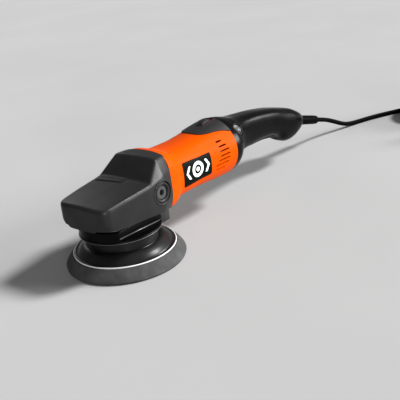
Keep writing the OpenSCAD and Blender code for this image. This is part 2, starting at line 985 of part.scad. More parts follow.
module handle_shell(side) {
    tip = handle_rows[len(handle_rows) - 1];
    inner_end = tip[0] - 1.5;
    outer = concat(
        [for (row = handle_rows) handle_arc(row, side, 0, row[0])],
        [handle_end(tip, side, tip[0] + 2, 0.6)]
    );
    inner = concat(
        [for (row = handle_rows)
            handle_arc(row, side, -wall, min(row[0], inner_end - (tip[0] - row[0]) * 0.05))],
        [handle_end(tip, side, tip[0] - 0.8, 0.3)]
    );
    if (side > 0)
        thick_sheet(outer, inner);
    else
        mirror([0, 1, 0])
            handle_shell(1);
}

module relief_line() {
    translate(relief_at)
        rotate([0, 90 + relief_slope, 0])
            children();
}

module handle_openings() {
    y_cylinder(265, 67.2, -12.1, 12.1, 2 + play);
    relief_line()
        translate([0, 0, -gap])
            cylinder(h = 4 + 2 * gap, r = 9.4 + play);
    translate([258.6, -8, 50])
        cube([78.6, 16, 20]);
    relief_line()
        cylinder(h = 40, r = 7.8);
    translate([190, -4.4, 108])
        cube([6.8 + gap, 8.8, 20]);
}

module screw_bosses(side) {
    for (s = handle_screws_at)
        y_cylinder(s[0], s[1], side > 0 ? 0.1 : -s[2], side > 0 ? s[2] : -0.1, 3.9);
}

module handle_left() {
    color(black)
        difference() {
            union() {
                handle_shell(-1);
                screw_bosses(-1);
            }
            handle_openings();
            for (s = handle_screws_at)
                y_cylinder(s[0], s[1], -s[2] + 2, 1, 1.5 + play);
            lock_line()
                translate([0, 0, -10])
                    cylinder(h = 20, r = 7.2);
        }
}

module handle_right() {
    color(black)
        difference() {
            union() {
                handle_shell(1);
                screw_bosses(1);
            }
            handle_openings();
            for (s = handle_screws_at) {
                y_cylinder(s[0], s[1], -1, 30, 1.5 + play);
                y_cylinder(s[0], s[1], s[2] - 3, 30, 3.1);
            }
        }
}

module handle_screws() {
    color(dark_steel)
        for (s = handle_screws_at)
            difference() {
                union() {
                    y_cylinder(s[0], s[1], -s[2] + 4, s[2] - 3, 1.5);
                    y_cylinder(s[0], s[1], s[2] - 3 + play, s[2] - 0.4, 3);
                }
                y_cylinder(s[0], s[1], s[2] - 2, s[2] + 1, 1.3);
            }
}

module trigger() {
    color(soft_black)
        difference() {
            translate([0, 7.6, 0])
                rotate([90, 0, 0])
                    linear_extrude(height = 15.2)
                        polygon([
                            [260, 68], [260, 63], [263, 61.2], [275, 60.2], [290, 59.9], [305, 58.8],
                            [320, 56.4], [330, 54.2], [334, 54.6], [335.6, 57], [335, 61], [318, 65.5],
                            [300, 68], [280, 69.5], [266, 71.5], [262, 71]
                        ]);
            y_cylinder(265, 67.2, -10, 10, 2 + play);
            y_cylinder(265, 67.2, -3, 3, 4.2);
        }
}

module trigger_pin() {
    color(steel)
        y_cylinder(265, 67.2, -12, 12, 2);
}

module trigger_spring() {
    color(steel)
        difference() {
            y_cylinder(265, 67.2, -2.6, 2.6, 3.6);
            y_cylinder(265, 67.2, -4, 4, 2.4);
        }
}

module switch_body() {
    color(soft_black) {
        translate([272, -9, 76])
            cube([48, 18, 18]);
        translate([282, -3, 94])
            cube([26, 6, 4]);
    }
}

module lock_line() {
    translate([213.5, -30.4, 106.4])
        rotate([52, 0, 0])
            children();
}

module lock_button() {
    color(soft_black)
        lock_line()
            difference() {
                union() {
                    translate([0, 0, -5.4])
                        cylinder(h = 5.8, r = 6.9);
                    translate([0, 0, -8.4])
                        cylinder(h = 4, r = 5);
                }
                translate([0, 0, -9])
                    cylinder(h = 5.6, r = 3.3);
            }
}

module lock_spring() {
    color(steel)
        lock_line()
            translate([0, 0, -17])
                difference() {
                    cylinder(h = 10.6, r = 3);
                    translate([0, 0, -1])
                        cylinder(h = 13, r = 2.2);
                }
}

module speed_dial() {
    ribs = 30;
    color(soft_black)
        difference() {
            y_cylinder(182, 112.6, -3.8, 3.8, 14);
            y_cylinder(182, 112.6, -5, 5, 2 + play);
            for (i = [0:ribs - 1])
                translate([182, 0, 112.6])
                    rotate([0, 360 * i / ribs, 0])
                        translate([13.5, -5, -0.5])
                            cube([2, 10, 1]);
        }
}

module control_module() {
    color(soft_black) {
        translate([200, -15, 64])
            cube([24, 30, 14]);
        translate([188, -14, 99])
            cube([12, 5, 14]);
        y_cylinder(182, 112.6, -14, 6, 2);
        translate([178, -14, 109])
            cube([12, 5, 6]);
    }
}

module cord_clamp() {
    color(soft_black)
        difference() {
            translate([384, -13, 62])
                cube([10, 26, 6]);
            relief_line()
                translate([0, 0, -30])
                    cylinder(h = 32, r = 3.4);
        }
}

module clamp_screws() {
    color(dark_steel)
        for (s = [-1, 1])
            translate([389, s * 9, 0]) {
                translate([0, 0, 68 + play])
                    cylinder(h = 2.4, r = 3);
                translate([0, 0, 56])
                    cylinder(h = 6 - play, r = 1.5);
            }
}

module strain_relief() {
    color(soft_black)
        relief_line()
            rotate_extrude()
                polygon([
                    [0, 0], [9.4, 0], [9.4, 4], [7.5, 5], [7.5, 45], [7.3, 60],
                    [7, relief_l - 1], [6.4, relief_l], [0, relief_l]
                ]);
}

// ---- lead, coil and plug ----

module power_cord() {
    color(black)
        swept_tube(cord_route, cord_r);
}

module cord_coil() {
    low = 1;
    high = 30;
    edge = 3;
    inside = coil_r - 15.2;
    outside = coil_r + 15.2;
    color(black)
        translate([coil_at[0], coil_at[1], 0])
            rotate_extrude($fn = 72)
                polygon([
                    [inside + edge, low], [outside - edge, low], [outside, low + edge],
                    [outside, high - edge], [outside - edge, high], [inside + edge, high],
                    [inside, high - edge], [inside, low + edge]
                ]);
}

module coil_tie() {
    inside = coil_r - 15.2 - play;
    outside = coil_r + 15.2 + play;
    band = 0.9;
    color(soft_black)
        translate([coil_at[0], coil_at[1], 0])
            rotate_extrude(angle = 16, start = 190)
                difference() {
                    translate([inside - band, 0])
                        square([outside - inside + 2 * band, 31]);
                    translate([inside, 0.95])
                        square([outside - inside, 29.1]);
                }
}

module cord_tail() {
    color(black)
        swept_tube(tail_route, cord_r);
}

module plug_body() {
    color(black)
        translate(plug_at)
            rotate([0, -90, 0]) {
                cylinder(h = 8, r1 = 5, r2 = 6.4);
                translate([0, 0, 8])
                    cylinder(h = 8, r1 = 6.4, r2 = 8.8);
                intersection() {
                    translate([0, 0, 15.9])
                        cylinder(h = 24, r = 18.4);
                    translate([-9.9, -19, 15])
                        cube([19.8, 38, 26]);
                }
            }
}

module plug_pins() {
    color(brass)
        for (side = [-1, 1])
            translate(plug_at + [-39.9, side * pin_gap / 2, 0])
                rotate([0, -90, 0])
                    cylinder(h = 19, r = 2.4);
}

head_cover();
gear_case();
bearing_flange();
flange_screws();
skirt();
crown_gear();
pinion();
drive_spindle();
upper_bearing();
lower_bearing();
eccentric();
set_screw();
pad_bearings();
retaining_ring();
pad_spindle();
plate_insert();
backing_plate();
pad_foam();
hook_layer();
motor_housing();
grip_pad();
badge_left();
badge_right();
housing_screws();
stator_core();
field_windings();
armature_shaft();
armature_core();
armature_windings();
commutator();
fan();
fan_baffle();
front_motor_bearing();
rear_motor_bearing();
bearing_carrier();
brush_holders();
brushes();
brush_springs();
handle_left();
handle_right();
handle_screws();
trigger();
trigger_pin();
trigger_spring();
switch_body();
lock_button();
lock_spring();
speed_dial();
control_module();
cord_clamp();
clamp_screws();
strain_relief();
power_cord();
cord_coil();
coil_tie();
cord_tail();
plug_body();
plug_pins();
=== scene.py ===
import json
import math

import bmesh
import bpy
import numpy as np
from mathutils import Matrix, Vector


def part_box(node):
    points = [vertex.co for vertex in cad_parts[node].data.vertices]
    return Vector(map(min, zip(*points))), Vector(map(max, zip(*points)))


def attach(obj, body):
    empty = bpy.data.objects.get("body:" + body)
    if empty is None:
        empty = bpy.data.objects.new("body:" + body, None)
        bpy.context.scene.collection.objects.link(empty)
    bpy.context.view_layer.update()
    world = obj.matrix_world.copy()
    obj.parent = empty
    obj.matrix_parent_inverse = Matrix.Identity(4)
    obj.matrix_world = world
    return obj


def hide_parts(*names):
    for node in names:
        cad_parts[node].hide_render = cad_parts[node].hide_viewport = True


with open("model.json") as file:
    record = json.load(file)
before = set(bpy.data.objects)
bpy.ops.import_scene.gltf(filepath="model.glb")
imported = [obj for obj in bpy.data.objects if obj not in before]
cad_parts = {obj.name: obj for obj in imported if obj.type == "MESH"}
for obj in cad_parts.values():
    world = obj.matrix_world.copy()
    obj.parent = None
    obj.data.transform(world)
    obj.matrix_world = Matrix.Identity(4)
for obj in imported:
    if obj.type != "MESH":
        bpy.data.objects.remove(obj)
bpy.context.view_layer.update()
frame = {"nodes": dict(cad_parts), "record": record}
MM = 0.001
scene = bpy.context.scene

# ---- camera ----

cam_data = bpy.data.cameras.new("camera")
cam_data.sensor_width = 36
cam_data.lens = 67.35
cam_data.clip_start = 0.01
cam = bpy.data.objects.new("camera", cam_data)
scene.collection.objects.link(cam)
right = Vector((0.61727086, -0.77882167, -0.11141584))
up = Vector((0.36255006, 0.15590109, 0.91883203))
back = Vector((-0.69823645, -0.60756206, 0.37859504))
place = Matrix((right, up, back)).transposed().to_4x4()
place.translation = Vector((-0.57083, -0.63041, 0.41154))
cam.matrix_world = place
scene.camera = cam
scene.view_settings.view_transform = "Standard"


# ---- curves and tables ----

def smoothstep(t):
    t = np.clip(t, 0, 1)
    return t * t * (3 - 2 * t)


def through(points, steps):
    """Catmull-Rom curve through points, steps pieces from each to the next."""
    p = np.array(points, float)
    a = np.vstack([2 * p[0] - p[1], p, 2 * p[-1] - p[-2]])
    out = []
    for i in range(1, len(a) - 2):
        for s in range(steps):
            t = s / steps
            out.append(0.5 * (2 * a[i] + (a[i + 1] - a[i - 1]) * t
                              + (2 * a[i - 1] - 5 * a[i] + 4 * a[i + 1] - a[i + 2]) * t * t
                              + (3 * a[i] - a[i - 1] - 3 * a[i + 1] + a[i + 2]) * t ** 3))
    out.append(p[-1])
    return np.array(out)


def monotone(xs, ys, x):
    """Monotone cubic interpolation of rows ys at xs, evaluated at x."""
    xs, ys, x = np.array(xs, float), np.array(ys, float), np.atleast_1d(np.array(x, float))
    if ys.ndim == 1:
        ys = ys[:, None]
    h = np.diff(xs)[:, None]
    d = np.diff(ys, axis=0) / h
    m = np.zeros_like(ys)
    m[0], m[-1] = d[0], d[-1]
    same = d[:-1] * d[1:] > 0
    w1, w2 = 2 * h[1:] + h[:-1], h[1:] + 2 * h[:-1]
    with np.errstate(divide="ignore", invalid="ignore"):
        mean = (w1 + w2) / (w1 / d[:-1] + w2 / d[1:])
    m[1:-1] = np.where(same, mean, 0)
    i = np.clip(np.searchsorted(xs, x, side="right") - 1, 0, len(xs) - 2)
    t = ((x - xs[i]) / np.diff(xs)[i])[:, None]
    hi = np.diff(xs)[i][:, None]
    return ((2 * t ** 3 - 3 * t ** 2 + 1) * ys[i] + (t ** 3 - 2 * t ** 2 + t) * hi * m[i]
            + (-2 * t ** 3 + 3 * t ** 2) * ys[i + 1] + (t ** 3 - t ** 2) * hi * m[i + 1])


def table_at(rows, x):
    rows = np.array(rows, float)
    return monotone(rows[:, 0], rows[:, 1:], x)


def resample(line, n):
    """n points evenly spaced along a line."""
    line = np.array(line, float)
    s = np.r_[0, np.cumsum(np.linalg.norm(np.diff(line, axis=0), axis=1))]
    return np.column_stack([np.interp(np.linspace(0, s[-1], n), s, line[:, k]) for k in range(line.shape[1])])


def bent(points, steps=4):
    """The curve through points as a list of tuples, for joining to other profiles."""
    return [tuple(p) for p in through(points, steps)]


# ---- materials ----

class Shader:
    """A principled material built from a few noise layers in object space."""

    def __init__(self, name, **sockets):
        self.mat = bpy.data.materials.new(name)
        self.mat.use_nodes = True
        self.nodes, self.links = self.mat.node_tree.nodes, self.mat.node_tree.links
        self.main = self.nodes["Principled BSDF"]
        self.place = self.nodes.new("ShaderNodeTexCoord").outputs["Object"]
        for key, value in sockets.items():
            self.main.inputs[key.replace("_", " ")].default_value = value

    def noise(self, scale, detail=3, stretch=None, kind="ShaderNodeTexNoise", out="Fac", **props):
        node = self.nodes.new(kind)
        for key, value in props.items():
            setattr(node, key, value)
        node.inputs["Scale"].default_value = scale
        if "Detail" in node.inputs:
            node.inputs["Detail"].default_value = detail
        source = self.place
        if stretch:
            mapping = self.nodes.new("ShaderNodeMapping")
            mapping.inputs["Scale"].default_value = stretch
            self.links.new(source, mapping.inputs["Vector"])
            source = mapping.outputs["Vector"]
        self.links.new(source, node.inputs["Vector"])
        return node.outputs[out]

    def ramp(self, source, stops):
        node = self.nodes.new("ShaderNodeValToRGB")
        ramp = node.color_ramp
        for i, (at, value) in enumerate(stops):
            point = ramp.elements[i] if i < 2 else ramp.elements.new(at)
            point.position = at
            point.color = (*value, 1) if len(value) == 3 else value
        self.links.new(source, node.inputs["Fac"])
        return node.outputs["Color"]

    def math(self, kind, a, b):
        node = self.nodes.new("ShaderNodeMath")
        node.operation = kind
        for i, value in enumerate((a, b)):
            if isinstance(value, (int, float)):
                node.inputs[i].default_value = value
            else:
                self.links.new(value, node.inputs[i])
        return node.outputs[0]

    def span(self, source, low, high, start=0.3, end=0.7):
        node = self.nodes.new("ShaderNodeMapRange")
        for key, value in zip(("From Min", "From Max", "To Min", "To Max"), (start, end, low, high)):
            node.inputs[key].default_value = value
        self.links.new(source, node.inputs["Value"])
        return node.outputs["Result"]

    def mix(self, factor, a, b):
        node = self.nodes.new("ShaderNodeMix")
        node.data_type = "RGBA"
        self.links.new(factor, node.inputs["Factor"])
        for socket, value in ((node.inputs[6], a), (node.inputs[7], b)):
            if isinstance(value, tuple):
                socket.default_value = (*value, 1)
            else:
                self.links.new(value, socket)
        return node.outputs[2]

    def bump(self, source, strength, depth):
        node = self.nodes.new("ShaderNodeBump")
        node.inputs["Strength"].default_value = strength
        node.inputs["Distance"].default_value = depth
        self.links.new(source, node.inputs["Height"])
        return node.outputs["Normal"]

    def edges(self):
        """Bright on worn convex edges, from the mesh's own pointiness."""
        return self.span(self.nodes.new("ShaderNodeNewGeometry").outputs["Pointiness"], 0, 1, 0.52, 0.62)

    def set(self, **sources):
        for key, source in sources.items():
            self.links.new(source, self.main.inputs[key.replace("_", " ")])
        return self.mat


def moulded(name, dark, light, rough, grain=2600, depth=0.00005, worn=None, strength=0.35, **sockets):
    """Moulded plastic: fine spark-eroded grain, faint flow marks and handled patches."""
    s = Shader(name, **sockets)
    broad = s.noise(14, 4)
    fine = s.noise(grain, 2)
    colour = s.ramp(broad, [(0.3, dark), (0.7, light)])
    if worn:
        colour = s.mix(s.math("MULTIPLY", s.edges(), s.noise(160, 4)), colour, worn)
    smudge = s.noise(38, 5)
    roughness = s.math("ADD", s.span(smudge, rough[0], rough[1]), s.span(fine, -0.03, 0.03))
    return s.set(Base_Color=colour, Roughness=roughness, Normal=s.bump(fine, strength, depth))


def metal(name, dark, light, rough, stretch=(1, 1, 1)):
    """Machined metal with fine lines, drawn out along one axis by stretch."""
    s = Shader(name, Metallic=1.0)
    lines = s.noise(900, 3, stretch=stretch)
    return s.set(Base_Color=s.ramp(s.noise(60, 4), [(0.3, dark), (0.7, light)]),
                 Roughness=s.span(lines, rough[0], rough[1]), Normal=s.bump(lines, 0.2, 0.00004))


def foam(name):
    """Open cell foam: fine pores, coloured darker where the bump sinks as painted shade, under soft blotches
    where the cut surface is rubbed.
    """
    s = Shader(name, Roughness=0.95, Specular_IOR_Level=0.2)
    cells = s.noise(1300, kind="ShaderNodeTexVoronoi", out="Distance")
    clumps = s.noise(240, 5)
    height = s.math("ADD", cells, s.math("MULTIPLY", clumps, 1.4))
    # Pore colour follows the bump height, darker where it sinks: painted shade in the pores and hollows.
    pore_shade = s.ramp(height, [(0.45, (0.005, 0.005, 0.0052)), (1.25, (0.036, 0.036, 0.0365))])
    return s.set(Base_Color=s.mix(s.span(s.noise(75, 4), 0, 0.55, 0.4, 0.65), pore_shade, (0.06, 0.06, 0.06)),
                 Normal=s.bump(height, 0.7, 0.0005))


def hooks(name):
    """Hook tape: a close field of small hooks, dark in between."""
    s = Shader(name, Roughness=0.85)
    rows = s.noise(1100, kind="ShaderNodeTexVoronoi", out="Distance", distance="CHEBYCHEV")
    return s.set(Base_Color=s.ramp(rows, [(0.1, (0.12, 0.12, 0.12)), (0.5, (0.02, 0.02, 0.02))]),
                 Normal=s.bump(rows, 0.9, 0.0006))


MATS = {
    "cover_black": moulded("cover_black", (0.009, 0.009, 0.0094), (0.016, 0.016, 0.0165), (0.32, 0.4),
                           worn=(0.05, 0.05, 0.05), Specular_IOR_Level=0.12),
    # Skirt black kept several times darker than the cover's black: painted shade for the skirt under the head
    # cover.
    "skirt_black": moulded("skirt_black", (0.001, 0.001, 0.0011), (0.0025, 0.0025, 0.0027), (0.26, 0.34),
                           Specular_IOR_Level=0.04),
    # Mid grey for thin beads on the skirt: painted highlight lines along its edges.
    "line_highlight_grey": moulded("line_highlight_grey", (0.04, 0.04, 0.04), (0.06, 0.06, 0.06), (0.3, 0.4)),
    "handle_black": moulded("handle_black", (0.0008, 0.0008, 0.0009), (0.0016, 0.0016, 0.0017), (0.2, 0.26),
                            Specular_IOR_Level=0.06),
    "button_black": moulded("button_black", (0.004, 0.004, 0.0045), (0.007, 0.007, 0.0075), (0.3, 0.38),
                            worn=(0.03, 0.03, 0.03), Specular_IOR_Level=0.2),
    "inner_plastic": moulded("inner_plastic", (0.004, 0.004, 0.005), (0.008, 0.008, 0.009), (0.5, 0.6)),
    "housing_orange": moulded("housing_orange", (0.44, 0.045, 0.0), (0.48, 0.051, 0.0), (0.36, 0.46),
                              grain=3200, depth=0.00003, strength=0.25, Specular_IOR_Level=0.03,
                              Specular_Tint=(1.0, 0.25, 0.01, 1)),
    "plate_black": moulded("plate_black", (0.005, 0.005, 0.0055), (0.009, 0.009, 0.0095), (0.26, 0.36),
                           grain=1800, depth=0.00002, strength=0.2, Specular_IOR_Level=0.12),
    # Light grey gloss for the bead round the plate's rim: a painted highlight for the glint along the rounded
    # rim.
    "rim_highlight_grey": moulded("rim_highlight_grey", (0.5, 0.5, 0.5), (0.6, 0.6, 0.6), (0.2, 0.3), grain=1800, depth=0.00002),
    "badge_black": moulded("badge_black", (0.002, 0.0032, 0.0024), (0.0035, 0.005, 0.004), (0.4, 0.5),
                           grain=4000, depth=0.00002, strength=0.2, Specular_IOR_Level=0.02),
    "mark_white": moulded("mark_white", (0.86, 0.86, 0.85), (0.92, 0.92, 0.91), (0.35, 0.45),
                          grain=4000, depth=0.00002, strength=0.2),
    "mark_red": moulded("mark_red", (0.2, 0.03, 0.02), (0.28, 0.05, 0.03), (0.5, 0.6)),
    "grip_rubber": moulded("grip_rubber", (0.009, 0.009, 0.0093), (0.015, 0.015, 0.0155), (0.5, 0.6),
                           grain=1400, depth=0.00012, strength=0.5, Specular_IOR_Level=0.12),
    "cord_black": moulded("cord_black", (0.0008, 0.0008, 0.0009), (0.0016, 0.0016, 0.0018), (0.4, 0.5),
                          grain=1500, depth=0.00005, Specular_IOR_Level=0.01),
    "brush_carbon": moulded("brush_carbon", (0.02, 0.02, 0.02), (0.03, 0.03, 0.03), (0.6, 0.7)),
    "case_alloy": moulded("case_alloy", (0.01, 0.01, 0.0105), (0.018, 0.018, 0.0185), (0.35, 0.5),
                          grain=1500, depth=0.0001, worn=(0.08, 0.08, 0.082), Specular_IOR_Level=0.2),
    "screw_steel": metal("screw_steel", (0.14, 0.14, 0.15), (0.2, 0.2, 0.21), (0.3, 0.45)),
    "gear_steel": metal("gear_steel", (0.28, 0.28, 0.29), (0.4, 0.4, 0.41), (0.25, 0.4)),
    "bright_steel": metal("bright_steel", (0.6, 0.6, 0.62), (0.72, 0.72, 0.74), (0.18, 0.3)),
    "winding_copper": metal("winding_copper", (0.45, 0.14, 0.06), (0.65, 0.26, 0.12), (0.25, 0.4),
                            stretch=(0.1, 1, 1)),
    "holder_brass": metal("holder_brass", (0.6, 0.42, 0.16), (0.75, 0.55, 0.25), (0.25, 0.4)),
    "pin_nickel": metal("pin_nickel", (0.66, 0.65, 0.62), (0.78, 0.77, 0.74), (0.14, 0.24)),
    "foam_grey": foam("foam_grey"),
    "hook_dark": hooks("hook_dark"),
}
SLOTS = {part["node"]: part["material_slot"] for part in frame["record"]["subparts"]}


# ---- meshes ----

def weld(verts, faces):
    """Merges points that fall together and drops the faces that vanish."""
    keys, index, keep = {}, [], []
    for v in verts:
        key = tuple(np.round(np.array(v) * 1e6).astype(int))
        if key not in keys:
            keys[key] = len(keep)
            keep.append(v)
        index.append(keys[key])
    out = []
    for f in faces:
        g = [index[i] for i in f]
        g = [a for k, a in enumerate(g) if a != g[k - 1]]
        if len(set(g)) > 2 and len(set(g)) == len(g):
            out.append(g)
    return keep, out


def grid(rows, wrap=False, skip=()):
    """Points and quads of a grid of points, given as rows in millimetres."""
    rows = np.array(rows, float) * MM
    nr, nc = rows.shape[:2]
    faces = []
    for i in range(nr - 1):
        for k in range(nc if wrap else nc - 1):
            if (i, k) not in skip:
                m = (k + 1) % nc
                faces.append((i * nc + k, i * nc + m, (i + 1) * nc + m, (i + 1) * nc + k))
    return [tuple(v) for v in rows.reshape(-1, 3)], faces


def lathe(profile, sides):
    """Grid of a profile of (radius, height) turned about Z."""
    turns = np.radians(np.arange(sides) * 360 / sides)
    return [[(r * math.cos(a), r * math.sin(a), z) for a in turns] for r, z in profile]


def rounded(profile, radius, steps):
    """The corners of an open polyline rounded to a radius where there is room for it."""
    p = [np.array(q, float) for q in profile]
    out = [p[0]]
    for a, b, c in zip(p, p[1:], p[2:]):
        u, v = (a - b), (c - b)
        lu, lv = np.linalg.norm(u), np.linalg.norm(v)
        cut = min(radius, lu * 0.45, lv * 0.45)
        s, e = b + u / lu * cut, b + v / lv * cut
        for t in np.linspace(0, 1, steps + 1):
            out.append((1 - t) ** 2 * s + 2 * t * (1 - t) * b + t * t * e)
    out.append(p[-1])
    return out


def solid_mesh(name, verts, faces, matrix):
    """Mesh of welded points and faces with its normals made to agree."""
    verts, faces = weld(verts, faces)
    mesh = bpy.data.meshes.new(name)
    mesh.from_pydata([tuple(v) for v in verts], [], faces)
    if matrix is not None:
        mesh.transform(matrix)
    bm = bmesh.new()
    bm.from_mesh(mesh)
    bmesh.ops.recalc_face_normals(bm, faces=bm.faces)
    bm.to_mesh(mesh)
    bm.free()
    return mesh


def piece(name, verts, faces, slot, body="tool", replaces=(), matrix=None):
    """A visible piece: its mesh, material and body, and the nodes that it stands for."""
    mesh = solid_mesh(name, verts, faces, matrix)
    ob = bpy.data.objects.new(name, mesh)
    scene.collection.objects.link(ob)
    mesh.materials.append(MATS[slot])
    mesh.shade_smooth()
    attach(ob, body)
    if replaces:
        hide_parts(*replaces)
    return ob


def add_bevel(ob, width, segments=2, angle=35):
    mod = ob.modifiers.new("bevel", "BEVEL")
    mod.width = width * MM
    mod.segments = segments
    mod.limit_method = "ANGLE"
    mod.angle_limit = math.radians(angle)
    mod.harden_normals = True
    mod.miter_outer = "MITER_ARC"


def add_wall(ob, thickness):
    """Gives a skin its wall, inwards."""
    mod = ob.modifiers.new("wall", "SOLIDIFY")
    mod.thickness = thickness * MM
    mod.offset = -1
    mod.use_quality_normals = True


def cutter(verts, faces, matrix=None):
    ob = bpy.data.objects.new("cut", solid_mesh("cut", verts, faces, matrix))
    scene.collection.objects.link(ob)
    return ob


def add_cuts(ob, cutters):
    for cut in cutters:
        mod = ob.modifiers.new("cut", "BOOLEAN")
        mod.operation = "DIFFERENCE"
        mod.solver = "EXACT"
        mod.object = cut


def settle(ob, cutters=(), sharp=None):
    """Applies the modifiers, removes the cutters and sets the shading."""
    bpy.context.view_layer.update()
    shaped = ob.evaluated_get(bpy.context.evaluated_depsgraph_get())
    mesh = bpy.data.meshes.new_from_object(shaped)
    ob.modifiers.clear()
    ob.data = mesh
    for cut in cutters:
        bpy.data.objects.remove(cut)
    if sharp:
        mesh.set_sharp_from_angle(angle=math.radians(sharp))


def rod(a, b, r, sides=64):
    """Closed cylinder between two points in millimetres, as points and faces."""
    a, b = np.array(a, float), np.array(b, float)
    axis = (b - a) / np.linalg.norm(b - a)
    side = np.cross(axis, (0, 0, 1) if abs(axis[2]) < 0.9 else (1, 0, 0))
    side /= np.linalg.norm(side)
    up_ = np.cross(axis, side)
    turns = np.arange(sides) * 2 * math.pi / sides
    rows = [[p + r * (math.cos(t) * side + math.sin(t) * up_) for t in turns] for p in (a, b)]
    verts, faces = grid(rows, wrap=True)
    return verts, faces + [tuple(range(sides)), tuple(range(sides, 2 * sides))]


def block(low, high):
    """Box between two corners in millimetres, as points and faces."""
    verts = [(x * MM, y * MM, z * MM) for x in (low[0], high[0]) for y in (low[1], high[1])
             for z in (low[2], high[2])]
    return verts, [(0, 1, 3, 2), (4, 6, 7, 5), (0, 4, 5, 1), (2, 3, 7, 6), (0, 2, 6, 4), (1, 5, 7, 3)]


def turned(name, profile, slot, body, replaces, matrix, sides):
    """A piece made by turning a profile about the Z axis of a matrix."""
    verts, faces = grid(lathe(profile, sides), wrap=True)
    return piece(name, verts, faces, slot, body, replaces, matrix)


def bead(r, z, width, height, sides):
    """Closed oval profile at radius r and height z."""
    turns = np.linspace(0, 2 * math.pi, sides + 1)
    return [(r + width * math.cos(t), z + height * math.sin(t)) for t in turns]


def joined(shapes):
    """Points and faces of several shapes as one."""
    verts, faces = [], []
    for points, polygons in shapes:
        faces += [tuple(i + len(verts) for i in p) for p in polygons]
        verts += points
    return verts, faces


def face_outward(ob, side):
    """Turns an open skin so that its faces look towards side times Y."""
    if sum(p.normal.y for p in ob.data.polygons) * side < 0:
        ob.data.flip_normals()


# ---- lead: sleeve end, floor, coil, plug ----

COIL = np.array([674.0, -126.0])
CORD_ROUTE = [
    (469.96, 0, 40.01), (478, 0, 37.7), (490, 0, 34), (505, -0.5, 29.2), (521, -2, 22.6),
    (538, -5, 14.6), (554, -8.5, 7.8), (570, -12.5, 4.6), (587, -18, 3.8), (604, -24.7, 3.8),
    (621, -32.4, 3.8), (638, -41.2, 3.8), (655, -51.2, 3.8), (674, -62.6, 3.8), (696.5, -75.2, 3.8),
]
TAIL_ROUTE = [(650, -180.1, 26), (639, -178.5, 24.6), (627, -175.8, 20.9), (613, -172, 15.2),
              (600, -169.2, 11.3), (588, -168, 10)]
PLUG_AT = (588, -168, 10)


def coil_path():
    """Four layers of turns, in, out, in and out again, each a diameter above the last."""
    outer, inner = 55.4, 32.6
    lowest, layer = 3.8, 7.55
    turned_by = np.arange(6, 4833, 6.0)
    layer_ends = [0, 1080, 1260, 2340, 2520, 3600, 3780, 4860]
    r = np.interp(turned_by, layer_ends, [outer, inner, inner, outer] * 2)
    z = lowest + layer * sum(smoothstep((turned_by - at) / 180) for at in (1080, 2340, 3600))
    angle = np.radians(66 - turned_by)
    off = (np.degrees(angle) - 198 + 180) % 360 - 180
    z = z + 0.95 * np.exp(-(np.radians(off) * r / 13) ** 2)
    r = r + 0.25 * np.sin(turned_by / 47.0) * np.sin(turned_by / 210.0)
    return np.column_stack([COIL[0] + r * np.cos(angle), COIL[1] + r * np.sin(angle), z])


route = through(CORD_ROUTE, 5)
tail = through(TAIL_ROUTE, 5)
line = np.vstack([route[:-1], coil_path(), tail[1:]])
smooth = line.copy()
for _ in range(6):
    smooth[1:-1] = 0.25 * smooth[:-2] + 0.5 * smooth[1:-1] + 0.25 * smooth[2:]
curve = bpy.data.curves.new("lead", "CURVE")
curve.dimensions = "3D"
curve.bevel_depth = 3.75 * MM
curve.bevel_resolution = 5
curve.use_fill_caps = True
spline = curve.splines.new("POLY")
spline.points.add(len(smooth) - 1)
for point, (x, y, z) in zip(spline.points, smooth):
    point.co = (x * MM, y * MM, z * MM, 1)
spline.use_smooth = True
lead = bpy.data.objects.new("lead", curve)
scene.collection.objects.link(lead)
curve.materials.append(MATS["cord_black"])
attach(lead, "tool")
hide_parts("power_cord", "cord_coil", "cord_tail")

# plug: moulded two-pole body, flat sided, with a ribbed neck
to_plug = Matrix.Translation(Vector(PLUG_AT) * MM) @ Matrix.Rotation(math.radians(-90), 4, "Y")
PLUG = [
    (0, 4.6, 4.6), (0.8, 5.2, 5.2), (3, 5.3, 5.3), (3.4, 4.9, 4.9), (4.4, 4.9, 4.9), (4.8, 5.6, 5.6),
    (7, 5.9, 5.9), (7.4, 5.4, 5.4), (8.4, 5.5, 5.5), (8.8, 6.4, 6.4), (11.4, 7.0, 7.0), (13, 7.9, 8.2),
    (15, 8.9, 11.2), (17, 9.5, 14.2), (19.5, 9.8, 16.6), (23, 9.9, 18.1), (28, 9.9, 18.4), (36, 9.9, 18.4),
    (38.6, 9.8, 18.1), (39.6, 9.3, 17.4), (39.9, 8.6, 16.6), (39.9, 4, 8), (39.9, 0.01, 0.01),
]
plug_rows = []
for h, ra, rb in PLUG:
    e = 2 / (2 + 1.6 * smoothstep((h - 12) / 10))
    turns = np.linspace(0, 2 * math.pi, 64, endpoint=False)
    plug_rows.append([(ra * np.sign(math.cos(t)) * abs(math.cos(t)) ** e,
                       rb * np.sign(math.sin(t)) * abs(math.sin(t)) ** e, h) for t in turns])
verts, faces = grid(plug_rows, wrap=True)
plug = piece("plug", verts, faces, "cord_black", "tool", ["plug_body"], to_plug)
plug.data.set_sharp_from_angle(angle=math.radians(50))
ribs = [block((-6, side * 17.2 - 1.6, 22 + 3.2 * k), (6, side * 17.2 + 1.6, 23.4 + 3.2 * k))
        for side in (-1, 1) for k in range(4)]
verts, faces = joined(ribs)
grips = piece("plug_grips", verts, faces, "cord_black", "tool", (), to_plug)
add_bevel(grips, 0.4)
settle(grips)

